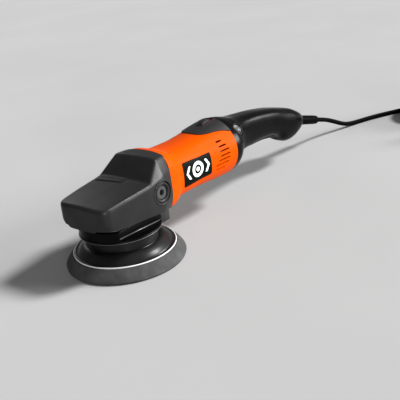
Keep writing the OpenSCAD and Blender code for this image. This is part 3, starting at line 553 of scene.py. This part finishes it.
# tie: a flat closed strap round one side of the bundle
low_r, high_r, top_z = 28.7, 59.9, 31.2
start = (low_r + 8, 0.0)
loop = rounded([start, (high_r, 0.0), (high_r, top_z), (low_r, top_z), (low_r, 0.0), start], 5, 6)
loop = resample(loop, 120)[:-1]
rows = []
for a in np.linspace(190, 206, 9):
    t = math.radians(a)
    rows.append([(COIL[0] + r * math.cos(t), COIL[1] + r * math.sin(t), z + 0.05) for r, z in loop])
verts, faces = grid(rows, wrap=True)
tie = piece("coil_strap", verts, faces, "cord_black", "tool", ["coil_tie"])
add_wall(tie, 0.85)
add_bevel(tie, 0.2, 2)
settle(tie)


# ---- head cover ----

COVER = [
    (60, 33.8, 52.2, 39.1, 38.2, 101.3, 30.8, 120.7, 123.9),
    (54, 36.2, 53.5, 40.7, 39.6, 101.9, 32.0, 121.1, 123.8),
    (42.3, 41.0, 55.4, 43.8, 42.4, 101.9, 34.0, 121.2, 123.2),
    (36.1, 42.0, 56.1, 44.4, 43.2, 100.5, 36.3, 115.5, 117.5),
    (18.2, 42.6, 58.3, 44.5, 44.1, 97.2, 42.4, 99.8, 101.0),
    (12.2, 42.7, 59.1, 44.5, 44.1, 96.2, 42.3, 98.8, 100.0),
    (-23.3, 41.8, 62.4, 42.5, 42.2, 93.7, 40.4, 96.3, 97.5),
    (-46.8, 40.0, 63.9, 40.5, 40.4, 91.5, 38.4, 94.1, 95.3),
    (-60.3, 38.5, 64.5, 39.0, 38.9, 90.0, 36.9, 92.6, 93.8),
][::-1]
NOSE_X = -59.6


def cover_section(values):
    """Half outline from the bottom edge to the crown, as (y, z), its corners eased over the blur."""
    blur, run_on = 1.7, 40
    bhw, bz, shw, hhw, hz, thw, tz, cz = values
    corners = [(bhw, bz), (shw, bz + (hz - bz) * 0.35), (shw, bz + (hz - bz) * 0.8), (hhw, hz), (thw, tz),
               (thw * 0.6, tz + (cz - tz) * 0.65), (0, cz)]
    half = resample(through(corners[:4], 8)[:-1].tolist() + through(corners[3:5], 8)[:-1].tolist()
                    + through(corners[4:], 10).tolist(), 500)
    mirrored = np.vstack([half, half[::-1][1:] * (-1, 1)])
    lead_in = half[0] + (half[0] - half[3]) / 3 * np.arange(run_on, 0, -1)[:, None]
    lead_out = mirrored[-1] + (mirrored[-1] - mirrored[-4]) / 3 * np.arange(1, run_on + 1)[:, None]
    whole = np.vstack([lead_in, mirrored, lead_out])
    step = np.linalg.norm(half[1] - half[0])
    reach = int(3 * blur / step)
    kernel = np.exp(-(np.arange(-reach, reach + 1) * step / blur) ** 2 / 2)
    kernel /= kernel.sum()
    padded = np.vstack([np.repeat(whole[:1], reach, 0), whole, np.repeat(whole[-1:], reach, 0)])
    soft = np.column_stack([np.convolve(padded[:, k], kernel, "valid") for k in (0, 1)])
    return soft[run_on:run_on + len(half)]


def cover_values(x):
    """The table at x, its kinks along the tool eased over about a millimetre."""
    rows = np.array(COVER, float)
    rear = rows[-1, 0]

    def row_at(at):
        return np.array([np.interp(at, rows[:, 0], rows[:, k]) for k in range(1, 9)])

    offsets = np.linspace(-3.2, 3.2, 17)
    weights = np.exp(-(offsets / 1.3) ** 2 / 2)
    weights /= weights.sum()
    out = np.zeros(8)
    for o, w in zip(offsets, weights):
        at = x + o
        out += w * (row_at(at) if at <= rear else 2 * rows[-1, 1:] - row_at(2 * rear - at))
    return out


def lip(x, y, z):
    """Low raised field on the nose in front of the slope, stepped at its front edge."""
    if z < 94 or x > 27:
        return z
    front = 4.6 - 0.11 * (y - 18)
    across = smoothstep((y + 6) / 4) * smoothstep((38 - y) / 4)
    return z + 1.4 * float(across * smoothstep((x - front) / 1.4) * (1 - smoothstep((x - 11) / 9)))


def eased(x, start, radius):
    """How far a quarter round of this radius, starting at x = start, has drawn in at x."""
    t = min(1, max(0, start - x) / radius)
    return radius * (1 - math.sqrt(1 - t * t))


def chin(x, y, z, side, low):
    """Lower corner of the nose drawn in to a quarter round, fading out along the tool."""
    radius = 9
    u, v = (abs(y) - side + radius) / radius, (low + radius - z) / radius
    if u <= 0 or v <= 0:
        return y, z
    fade = 1 - smoothstep((x - NOSE_X) / 20)
    k = 1 - float(fade) * (1 - max(u, v) / math.hypot(u, v))
    return math.copysign(side - radius + radius * u * k, y), low + radius - radius * v * k


def cover_skin():
    """Rings of the nose, each an arch, and the bulging face that closes its front."""
    corner, top = 12, 5
    nose = list(NOSE_X + corner * (1 - np.cos(np.linspace(0, math.pi / 2, 15))))
    xs = nose + list(np.arange(-45.5, 2, 2.2)) + list(np.arange(2.5, 9.0, 0.5)) \
        + list(np.arange(9.5, 56, 1.2)) + [57, 58, 59, 59.85]
    count = 74
    rows = []
    for x in xs:
        values = cover_values(max(x, NOSE_X))
        side, low, crown = values[2], values[1], values[7]
        half = resample(cover_section(values), count)
        y = half[:, 0] * (side - eased(x, NOSE_X + corner, corner)) / side
        up_to = (crown - eased(x, NOSE_X + top, top) - low) / (crown - low)
        z = low + (half[:, 1] - low) * up_to
        right_side = np.column_stack([np.full(count, x), y, z])
        arch = np.vstack([right_side, right_side[::-1][1:] * (1, -1, 1)])
        for p in arch:
            p[2] = lip(p[0], p[1], p[2])
        rows.append(arch)
    face = []
    edge = rows[0].copy()
    foot = np.array([NOSE_X, 0, edge[:, 2].min()])
    for s in np.linspace(0.94, 0, 14):
        ring_ = foot + (rows[0] - foot) * s
        ring_[:, 0] = NOSE_X - 1.3 * (1 - s ** 2)
        face.append(ring_)
    for ring_ in face:
        for p in ring_:
            p[1:] = chin(NOSE_X, p[1], p[2], edge[0][1], foot[2])
    for ring_ in rows:
        side, low = ring_[0][1:]
        for p in ring_:
            p[1:] = chin(p[0], p[1], p[2], side, low)
    return face[::-1] + rows


skin = cover_skin()
verts, faces = grid(skin)
cover = piece("head_shell", verts, faces, "cover_black", "tool", ["head_cover"])
BOSS_X, BOSS_Y, BOSS_Z = 36.0, 44.3, 82.5
cuts = [cutter(*rod((BOSS_X, side * 32, BOSS_Z), (BOSS_X, side * 50, BOSS_Z), 12.6, 96)) for side in (-1, 1)]
add_wall(cover, 2.5)
add_cuts(cover, cuts)
add_bevel(cover, 0.45, 2, 50)
settle(cover, cuts)

# moulded seats round the two side handle bosses: outer lip, groove, inner collar
SEAT = [(15.9, -5), (15.9, 0.2), (15.5, 0.8), (14.7, 0.9), (14.2, 0.3), (13.9, -1.8), (13.3, -2.2),
        (12.7, -1.8), (12.5, 0.4), (12.1, 0.9), (10.9, 0.9), (9.7, 0.6), (9.1, 0.0), (8.9, -1.2), (8.9, -5)]
for side, label in ((-1, "left"), (1, "right")):
    spin = Matrix.Translation(Vector((BOSS_X, side * BOSS_Y, BOSS_Z)) * MM) \
        @ Matrix.Rotation(math.radians(-90 * side), 4, "X")
    turned("boss_seat_" + label, rounded(SEAT, 0.5, 3), "cover_black", "tool", (), spin, 96)


# ---- motor housing ----

BARREL = [
    (60, 38.7, 44, 123.8, 3.5), (66, 38.3, 44.6, 122.8, 3.5), (75, 37.2, 46, 119.9, 3.3),
    (80, 35.5, 49.2, 117.8, 3.1), (90, 34.7, 49.8, 116.5, 2.8), (105, 34.7, 49.4, 116, 2.7),
    (120, 35.2, 48.8, 116, 2.5), (135, 36.2, 47.8, 116.8, 2.4), (150, 37.4, 46.4, 118.2, 2.3),
    (165, 38.8, 44.6, 120.2, 2.2), (180, 40, 43.2, 121.9, 2.1), (197, 41, 42, 123.4, 2.0),
]
VENTS = [(161, 172, 104.2), (162, 177, 97.6), (162, 181, 91.2), (162, 182, 84.8), (158, 181, 79.4),
         (152, 178, 74), (152, 170, 68.2)]


def oval(values, angle, grow=0.0):
    hw, zb, zt, e = values
    c, s = np.cos(angle), np.sin(angle)
    return np.column_stack([(hw + grow) * np.sign(c) * np.abs(c) ** (2 / e),
                            (zb + zt) / 2 + ((zt - zb) / 2 + grow) * np.sign(s) * np.abs(s) ** (2 / e)])


def barrel_half(x, keys, counts):
    """Half outline from bottom to top with rings of points at fixed heights."""
    dense = oval(table_at(BARREL, x)[0], np.linspace(-math.pi / 2, math.pi / 2, 1600))
    s = np.r_[0, np.cumsum(np.linalg.norm(np.diff(dense, axis=0), axis=1))]
    stops = [0] + [float(np.interp(z, dense[:, 1], s)) for z in keys] + [s[-1]]
    at = [stops[0]]
    for a, b, n in zip(stops, stops[1:], counts):
        at += list(np.linspace(a, b, n + 1)[1:])
    return np.column_stack([np.interp(at, s, dense[:, 0]), np.interp(at, s, dense[:, 1])])


VENT_HALF = 1.1
keys = sorted(z + d for _, _, z in VENTS for d in (-VENT_HALF, VENT_HALF))
PLAIN_STEPS, VENT_STEPS, GAP_STEPS = 14, 2, 3
counts = [PLAIN_STEPS] + [VENT_STEPS, GAP_STEPS] * (len(VENTS) - 1) + [VENT_STEPS, PLAIN_STEPS]
starts = {}
level = PLAIN_STEPS
for v in reversed(VENTS):
    starts[v] = level
    level += VENT_STEPS + GAP_STEPS
ends = [(v[0], 1) for v in VENTS] + [(v[1], -1) for v in VENTS]
marks = sorted({round(x + way * d, 2) for x, way in ends for d in (0, VENT_HALF)})
plain = [x for x in np.r_[np.arange(60.15, 84, 0.9), np.arange(84, 196, 2.2), [195.4, 196.1, 196.95]]
         if all(abs(x - m) > 0.5 for m in marks)]
xs = sorted(plain + marks)
rows = []
for x in xs:
    half = barrel_half(x, keys, counts)
    n = len(half)
    ring_ = np.vstack([half, half[::-1][1:-1] * (-1, 1)])
    rows.append(np.column_stack([np.full(len(ring_), x), ring_]))
rows = np.array(rows)
total = rows.shape[1]
holes = set()
for v in VENTS:
    k = starts[v]
    first, last = xs.index(v[0]), xs.index(v[1])
    for i in range(first, last):
        for j in range(k, k + VENT_STEPS):
            holes.add((i, j))
            holes.add((i, total - 1 - j))
    for i, shift in ((first, 0.55), (last, -0.55)):
        for j, lift in ((k, 0.42), (k + VENT_STEPS, -0.42)):
            for m in (j, total - j):
                rows[i, m] += (shift, 0, lift)
verts, faces = grid(rows, wrap=True, skip=holes)
housing = piece("motor_shell", verts, faces, "housing_orange", "tool", ["motor_housing"])
cuts = [cutter(*block((167.4, -4.4, 108), (196.6, 4.4, 128)))]
add_wall(housing, 2.6)
add_cuts(housing, cuts)
add_bevel(housing, 0.35, 2, 50)
settle(housing, cuts)

# soft grip tongue on top, with the dial's opening
PAD = [(146.2, 3), (147, 12), (150, 20), (156, 27), (164, 32), (174, 36), (184, 41), (196.7, 50)]
rows = []
for x in np.r_[146.2, 146.6, 147, 148, 149, np.arange(150, 196, 1.5), 196.7]:
    spread = math.radians(float(monotone(*zip(*PAD), x)[0, 0]))
    angle = math.pi / 2 + np.linspace(-spread, spread, 45)
    ring_ = oval(table_at(BARREL, x)[0], angle, 1.2)
    rows.append(np.column_stack([np.full(len(ring_), x), ring_]))
verts, faces = grid(rows)
grip = piece("grip_tongue", verts, faces, "grip_rubber", "tool", ["grip_pad"])
cuts = [cutter(*block((167.4, -4.4, 108), (196.4, 4.4, 128)))]
add_wall(grip, 1.5)
add_cuts(grip, cuts)
add_bevel(grip, 0.6, 3, 50)
settle(grip, cuts)

# dial marks beside the opening: five short raised ticks, each longer than the last
for k in range(5):
    x = 172 + 5 * k
    top = oval(table_at(BARREL, x)[0], np.array([math.pi / 2 + 0.17]), 1.18)[0]
    size = 0.6 + 0.2 * k
    verts, faces = block((x - 0.35, top[0] - size, top[1] - 0.35), (x + 0.35, top[0] + size, top[1] + 0.2))
    tick = piece("dial_tick_%d" % k, verts, faces, "mark_red")
    add_bevel(tick, 0.12)
    settle(tick)


# ---- badges ----

def badge_point(x, z, side, proud):
    hw, zb, zt, e = table_at(BARREL, x)[0]
    up_ = (z - (zb + zt) / 2) / ((zt - zb) / 2 + proud)
    return (x, side * (hw + proud) * max(0, 1 - abs(up_) ** e) ** (1 / e), z)


def flat_ring(cx, cz, outer, inner):
    """Points and faces of a ring or disc in the plane of the badge."""
    sides = 72
    turns = np.linspace(0, 2 * math.pi, sides, endpoint=False)
    radii = [outer, inner] if inner else [outer, outer * 0.66, outer * 0.33, 0.001]
    pts = [(cx + r * math.cos(t), cz + r * math.sin(t)) for r in radii for t in turns]
    faces = []
    for i in range(0, (len(radii) - 1) * sides, sides):
        for k in range(sides):
            m = (k + 1) % sides
            faces.append((i + k, i + m, i + sides + m, i + sides + k))
    return pts, faces


def chevron(cx, cz, size, way):
    """A thick arrow head pointing along x."""
    pts, faces = [], []
    for t in np.linspace(-1, 1, 13):
        tip = cx + way * size * 0.62 * (1 - abs(t))
        pts += [(tip, cz + size * t), (tip - way * size * 0.42, cz + size * t)]
    for k in range(12):
        faces.append((2 * k, 2 * k + 1, 2 * k + 3, 2 * k + 2))
    return pts, faces


def badge(side, label):
    """Black plate on the barrel's side, with a raised white ring, dot and two arrow heads."""
    front, rear, corner_r, proud = 89, 143, 2, 0.8
    middle_x, middle_z = 116, 83.2
    rows = []
    for x in np.linspace(front, rear, 55):
        _, zb, zt, e = table_at(BARREL, x)[0]
        zc, hh = (zb + zt) / 2, (zt - zb) / 2
        reach = math.sin(math.radians(21.5)) ** (2 / e) * (hh + proud)
        corner = min(x - front, rear - x)
        if corner < corner_r:
            reach -= corner_r - math.sqrt(max(0, corner_r ** 2 - (corner_r - corner) ** 2))
        rows.append([badge_point(x, zc + reach * t, side, proud) for t in np.linspace(-1, 1, 33)])
    verts, faces = grid(rows)
    plate = piece("badge_plate_" + label, verts, faces, "badge_black", "tool", ["badge_" + label])
    face_outward(plate, side)
    add_wall(plate, proud)
    add_bevel(plate, 0.3, 2, 45)
    settle(plate)
    shapes = [flat_ring(middle_x, middle_z, 10.4, 6.3), flat_ring(middle_x, middle_z, 2.9, 0),
              chevron(98.6, middle_z, 8.6, -1), chevron(133.4, middle_z, 8.6, 1)]
    flat, faces = joined(shapes)
    verts = [tuple(c * MM for c in badge_point(x, z, side, 1.0)) for x, z in flat]
    mark = piece("badge_mark_" + label, verts, faces, "mark_white")
    for p in mark.data.polygons:
        if p.normal.y * side < 0:
            p.flip()
    add_wall(mark, 0.25)
    settle(mark, sharp=40)


badge(-1, "left")
badge(1, "right")


# ---- handle ----

HANDLE = [
    (197.15, 41, 42, 123.4, 2), (206, 40.6, 42.8, 122.8, 2), (213, 38.8, 45.6, 121.4, 2),
    (219, 35.2, 50.6, 119.6, 2.2), (225, 30.2, 56, 117.6, 2.6), (232, 25.2, 60, 115.6, 3.0),
    (242, 22.4, 62.2, 113.7, 3.3), (260, 20.6, 63, 111.5, 3.5), (285, 19.8, 63.4, 108.5, 3.5),
    (310, 19.5, 61.9, 104.4, 3.5), (335, 19.5, 55.7, 99.3, 3.5), (343, 19.5, 50.4, 97.2, 3.4),
    (351, 19.7, 43.2, 95.1, 3.2), (360, 19.9, 38.9, 92.5, 3.0), (370, 20, 37.6, 89.6, 2.9),
    (380, 20, 38.4, 86.4, 2.8), (390, 19.4, 40.8, 82.2, 2.6), (400, 17.8, 44.2, 77.2, 2.4),
    (408, 15.0, 47.6, 72.5, 2.2), (413, 12.2, 50.6, 68.6, 2.1),
]
SCREWS = [(236, 96, 21.6), (250, 78, 19.2), (346, 74, 18), (378, 60, 18.5)]
LOCK = Matrix.Translation(Vector((213.5, -30.4, 106.4)) * MM) @ Matrix.Rotation(math.radians(52), 4, "X")
RELIEF = Matrix.Translation(Vector((402, 0, 59.5)) * MM) @ Matrix.Rotation(math.radians(106), 4, "Y")


def handle_half(side):
    """Rows of one half shell, with the round end cap that closes it."""
    rows = []
    tip, gap, count = 413, 0.08, 60
    xs = np.r_[197.15, 198, 199.5, np.arange(201, 240, 1.4), np.arange(240, 335, 2.5),
               np.arange(335, 409, 1.7), 410, 411.5, tip]
    for x in xs:
        values = table_at(HANDLE, x)[0]
        half = resample(oval(values, np.linspace(-math.pi / 2, math.pi / 2, 700)), count)
        half[:, 0] = np.maximum(half[:, 0], 0)
        rows.append(np.column_stack([np.full(count, x), side * (half[:, 0] + gap), half[:, 1]]))
    edge = rows[-1]
    middle = np.array([tip, side * gap, 59.0])
    for s, dx in ((0.93, 0.9), (0.8, 1.5), (0.6, 1.9), (0.35, 2.0)):
        end = middle + (edge - middle) * s
        end[:, 0] = tip + dx
        end[:, 1] = side * np.maximum(np.abs(end[:, 1]), gap)
        rows.append(end)
    return rows


def round_cut(matrix, a, b, r):
    """Cutter: a cylinder along the local Z axis of a matrix, in millimetres."""
    verts, faces = rod((0, 0, a), (0, 0, b), r)
    return cutter(verts, faces, matrix)


def handle(side, label):
    """One half shell with its openings; the screws go in from the right."""
    verts, faces = grid(handle_half(side))
    shell = piece("handle_shell_" + label, verts, faces, "handle_black", "tool", ["handle_" + label])
    face_outward(shell, side)
    trigger_opening = cutter(*block((258.6, -8, 50), (337.2, 8, 70)))
    dial_opening = cutter(*block((190, -4.4, 108), (197.3, 4.4, 128)))
    cuts = [trigger_opening, dial_opening, round_cut(RELIEF, -2, 40, 7.8)]
    if side < 0:
        cuts.append(round_cut(LOCK, -10, 10, 7.2))
    else:
        cuts += [cutter(*rod((x, y - 3, z), (x, 30, z), 3.1, 40)) for x, z, y in SCREWS]
    add_wall(shell, 2.6)
    add_cuts(shell, cuts)
    add_bevel(shell, 0.35, 2, 50)
    settle(shell, cuts)


handle(-1, "left")
handle(1, "right")

# trigger: lever of one outline all across, with rounded edges
TRIGGER = [(260, 68), (260, 63), (263, 61.2), (275, 60.2), (290, 59.9), (305, 58.8), (320, 56.4), (330, 54.2),
           (334, 54.6), (335.6, 57), (335, 61), (318, 65.5), (300, 68), (280, 69.5), (266, 71.5), (262, 71)]
outline = np.array(through(TRIGGER + TRIGGER[:1], 4))[:-1]
rows = [[(x, y, z) for x, z in outline] for y in np.linspace(-7.6, 7.6, 9)]
verts, faces = grid(rows, wrap=True)
n = len(outline)
faces += [tuple(range(n)), tuple(range(8 * n, 9 * n))]
lever = piece("trigger_lever", verts, faces, "button_black", "trigger", ["trigger"])
add_bevel(lever, 1.1, 3, 60)
settle(lever, sharp=50)

# lock button in its well, with a raised rim round the well
CAP = [(0.001, -0.5), (3, -0.35), (5.2, 0.15), (6.2, 0.4), (6.75, 0.1), (6.9, -0.6), (6.9, -5.4), (5, -5.4),
       (5, -8.4), (3.3, -8.4)]
WELL_RIM = [(7.15, -2.5), (7.2, 0.2), (7.5, 0.75), (8.2, 0.9), (8.9, 0.6), (9.3, -0.1), (9.4, -1.5)]
turned("lock_cap", through(CAP, 3), "button_black", "lock_button", ["lock_button"], LOCK, 72)
turned("lock_rim", through(WELL_RIM, 4), "handle_black", "tool", (), LOCK, 72)

# strain relief: tapered sleeve with a collar that sits in the handle
SLEEVE = [(7.5, 5), (7.5, 12), (7.5, 30), (7.4, 45), (7.2, 60), (6.9, 68), (6.5, 69.8), (5.6, 70.6),
          (4.4, 70.7), (3.7, 70.2)]
turned("cord_sleeve", [(9.2, 0.5), (9.2, 3.8), (7.5, 4)] + bent(SLEEVE), "cord_black", "tool",
       ["strain_relief"], RELIEF, 64)


# ---- skirt: round rim, wall cut flat on both sides, ledges at the foot of the flats, heel behind ----

RIM = [(48.6, 43.2), (51.0, 43.0), (51.6, 43.8), (51.6, 45.2), (51.2, 46.0), (48.5, 46.0), (48.5, 43.2)]
WALL = [(48.5, 46.5), (48.5, 45.2), (51.0, 45.2), (51.0, 57.2), (50.0, 58.4), (26.7, 58.4), (26.7, 56.1),
        (48.5, 56.1), (48.5, 46.5)]
FLAT_Y, FLAT_X = 35.3, 36.6
LEDGE_R = 51.2
turned("skirt_rim", rounded(RIM, 0.6, 4), "skirt_black", "tool", ["skirt"], None, 192)
wall = turned("skirt_wall", rounded(WALL, 0.5, 3), "skirt_black", "tool", (), None, 192)
cuts = [cutter(*block((-60, side * 60, 40), (60, side * FLAT_Y, 62))) for side in (-1, 1)]
add_cuts(wall, cuts)
add_bevel(wall, 0.5, 2, 60)
settle(wall, cuts, sharp=40)


def slab(name, outline, low, high, bevel, slot="skirt_black"):
    """Upright prism of a closed outline with eased edges."""
    verts, faces = grid([[(x, y, z) for x, y in outline] for z in (low, high)], wrap=True)
    n = len(outline)
    ob = piece(name, verts, faces + [tuple(range(n)), tuple(range(n, 2 * n))], slot)
    add_bevel(ob, bevel, 4, 40)
    settle(ob, sharp=40)


def skirt_side(side, label):
    """The flat on one side, the ledge at its foot and the thin grey bead across it, a painted highlight line.
    """
    inner, outer = side * (FLAT_Y - 2), side * (FLAT_Y + 0.1)
    slab("skirt_flat_" + label, [(-FLAT_X, inner), (FLAT_X, inner), (FLAT_X, outer), (-FLAT_X, outer)],
         44.2, 58.3, 0.5)
    reach = math.acos(35.0 / LEDGE_R)
    arc = [(LEDGE_R * math.sin(t), side * LEDGE_R * math.cos(t)) for t in np.linspace(-reach, reach, 60)]
    slab("skirt_ledge_" + label, arc, 43.6, 45.6, 0.3)
    # Grey rod across the flat: a painted highlight line along the chord.
    verts, faces = rod((-FLAT_X, side * 35.5, 49.9), (FLAT_X + 0.2, side * 35.5, 45.3), 0.7, 16)
    piece("skirt_highlight_line_" + label, verts, faces, "line_highlight_grey")


skirt_side(-1, "left")
skirt_side(1, "right")
# Thin grey ring round the rim's outer edge: a painted highlight along the rim.
turned("skirt_edge_highlight", bead(51.3, 43.7, 0.45, 0.45, 12), "line_highlight_grey", "tool", (), None, 256)
HEEL = [(35.9, -35.3), (51, -35.3), (53.2, -34.4), (54.4, -32), (54.4, 32), (53.2, 34.4), (51, 35.3),
        (35.9, 35.3)]
HEEL_R = 50.4
turns = np.radians(np.linspace(44.2, -44.2, 48))
hollow = [(HEEL_R * math.cos(t), HEEL_R * math.sin(t)) for t in turns]
slab("skirt_heel", HEEL + hollow, 39.6, 56, 3.2, "cover_black")


# ---- plate, foam and hooks ----

low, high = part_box("pad_foam")
PAD_AXIS = Matrix.Translation(((low[0] + high[0]) / 2, (low[1] + high[1]) / 2, 0))
LIP = [(62.4, 12.2), (63.5, 13.2), (64.1, 15.0), (63.9, 16.8), (63.0, 17.9), (61.6, 18.2), (60.4, 17.9),
       (59.8, 17.8)]
DOME = [(59.2, 19.0), (58.2, 20.2), (55.6, 22.9), (52.3, 25.4), (49.5, 26.9), (46.8, 27.2), (45.2, 26.6)]
HUB = [(43.6, 25.7), (43.05, 26.6), (42.9, 30), (42.4, 40.2), (41.9, 41.1), (40.8, 41.4), (39.2, 41.3),
       (38.2, 40.7), (37.8, 38), (37.4, 22.5), (36.6, 20.6), (34, 19.5)]
FLARE = [(74.4, 1.25), (75.3, 2.0), (75.5, 3.2), (74.7, 5.0), (72.6, 8.2), (70.3, 11.3), (68.0, 14.2),
         (66.6, 15.9), (65.8, 16.5), (65.1, 16.3)]
plate = [(9.1, 12.0), (62.0, 12.0)] + bent(LIP) + bent(DOME) + bent(HUB) + [(9.1, 19.5), (9.1, 12.0)]
backing = turned("backing_dish", plate, "plate_black", "pad", ["backing_plate"], PAD_AXIS, 192)
backing.data.set_sharp_from_angle(angle=math.radians(50))
# Grey bead laid round the plate's rounded rim: a painted highlight along the rim.
turned("rim_painted_highlight", bead(64.2, 17.2, 0.75, 0.9, 16), "rim_highlight_grey", "pad", (), PAD_AXIS, 256)
flare = [(0.001, 1.2), (70, 1.2)] + bent(FLARE, 5) + [(64.6, 15.2), (64.0, 12.6), (62.8, 11.9), (0.001, 11.9)]
flare_pad = turned("foam_flare", flare, "foam_grey", "pad", ["pad_foam"], PAD_AXIS, 256)
HOOKS = [(0.001, 0), (74.2, 0), (74.6, 0.25), (74.6, 1.0), (74.2, 1.2), (0.001, 1.2)]
turned("hook_face", HOOKS, "hook_dark", "pad", ["hook_layer"], PAD_AXIS, 192)


# ---- CAD nodes that stay ----

for name, ob in frame["nodes"].items():
    ob.data.materials.clear()
    ob.data.materials.append(MATS[SLOTS[name]])
    ob.data.shade_smooth()
    ob.data.set_sharp_from_angle(angle=math.radians(30))


# ---- floor and light ----

def floor_material():
    s = Shader("floor", Roughness=0.8, Specular_IOR_Level=0.1)
    return s.set(Base_Color=s.ramp(s.noise(3, 3), [(0.3, (0.315, 0.315, 0.315)), (0.7, (0.33, 0.33, 0.33))]))


mesh = bpy.data.meshes.new("floor")
mesh.from_pydata([(-40, -40, 0), (40, -40, 0), (40, 40, 0), (-40, 40, 0)], [], [(0, 1, 2, 3)])
floor = bpy.data.objects.new("floor", mesh)
scene.collection.objects.link(floor)
mesh.materials.append(floor_material())

world = bpy.data.worlds.new("studio")
scene.world = world
world.use_nodes = True
world.node_tree.nodes["Background"].inputs["Color"].default_value = (1, 1, 1, 1)
world.node_tree.nodes["Background"].inputs["Strength"].default_value = 0.25


def lamp(name, azimuth, elevation, spread, strength):
    """Far softbox: azimuth and elevation of where it stands, spread across in degrees."""
    data = bpy.data.lights.new(name, "SUN")
    data.angle = math.radians(spread)
    data.energy = strength
    ob = bpy.data.objects.new(name, data)
    scene.collection.objects.link(ob)
    a, e = math.radians(azimuth), math.radians(elevation)
    toward = Vector((math.cos(a) * math.cos(e), math.sin(a) * math.cos(e), math.sin(e)))
    ob.rotation_euler = toward.to_track_quat("Z", "Y").to_euler()


lamp("key_low", -44, 12, 26, 6)
lamp("key_high", -42, 44, 12, 5.5)
lamp("front", -128, 3, 12, 3.0)
lamp("back", 66, 26, 20, 0.25)
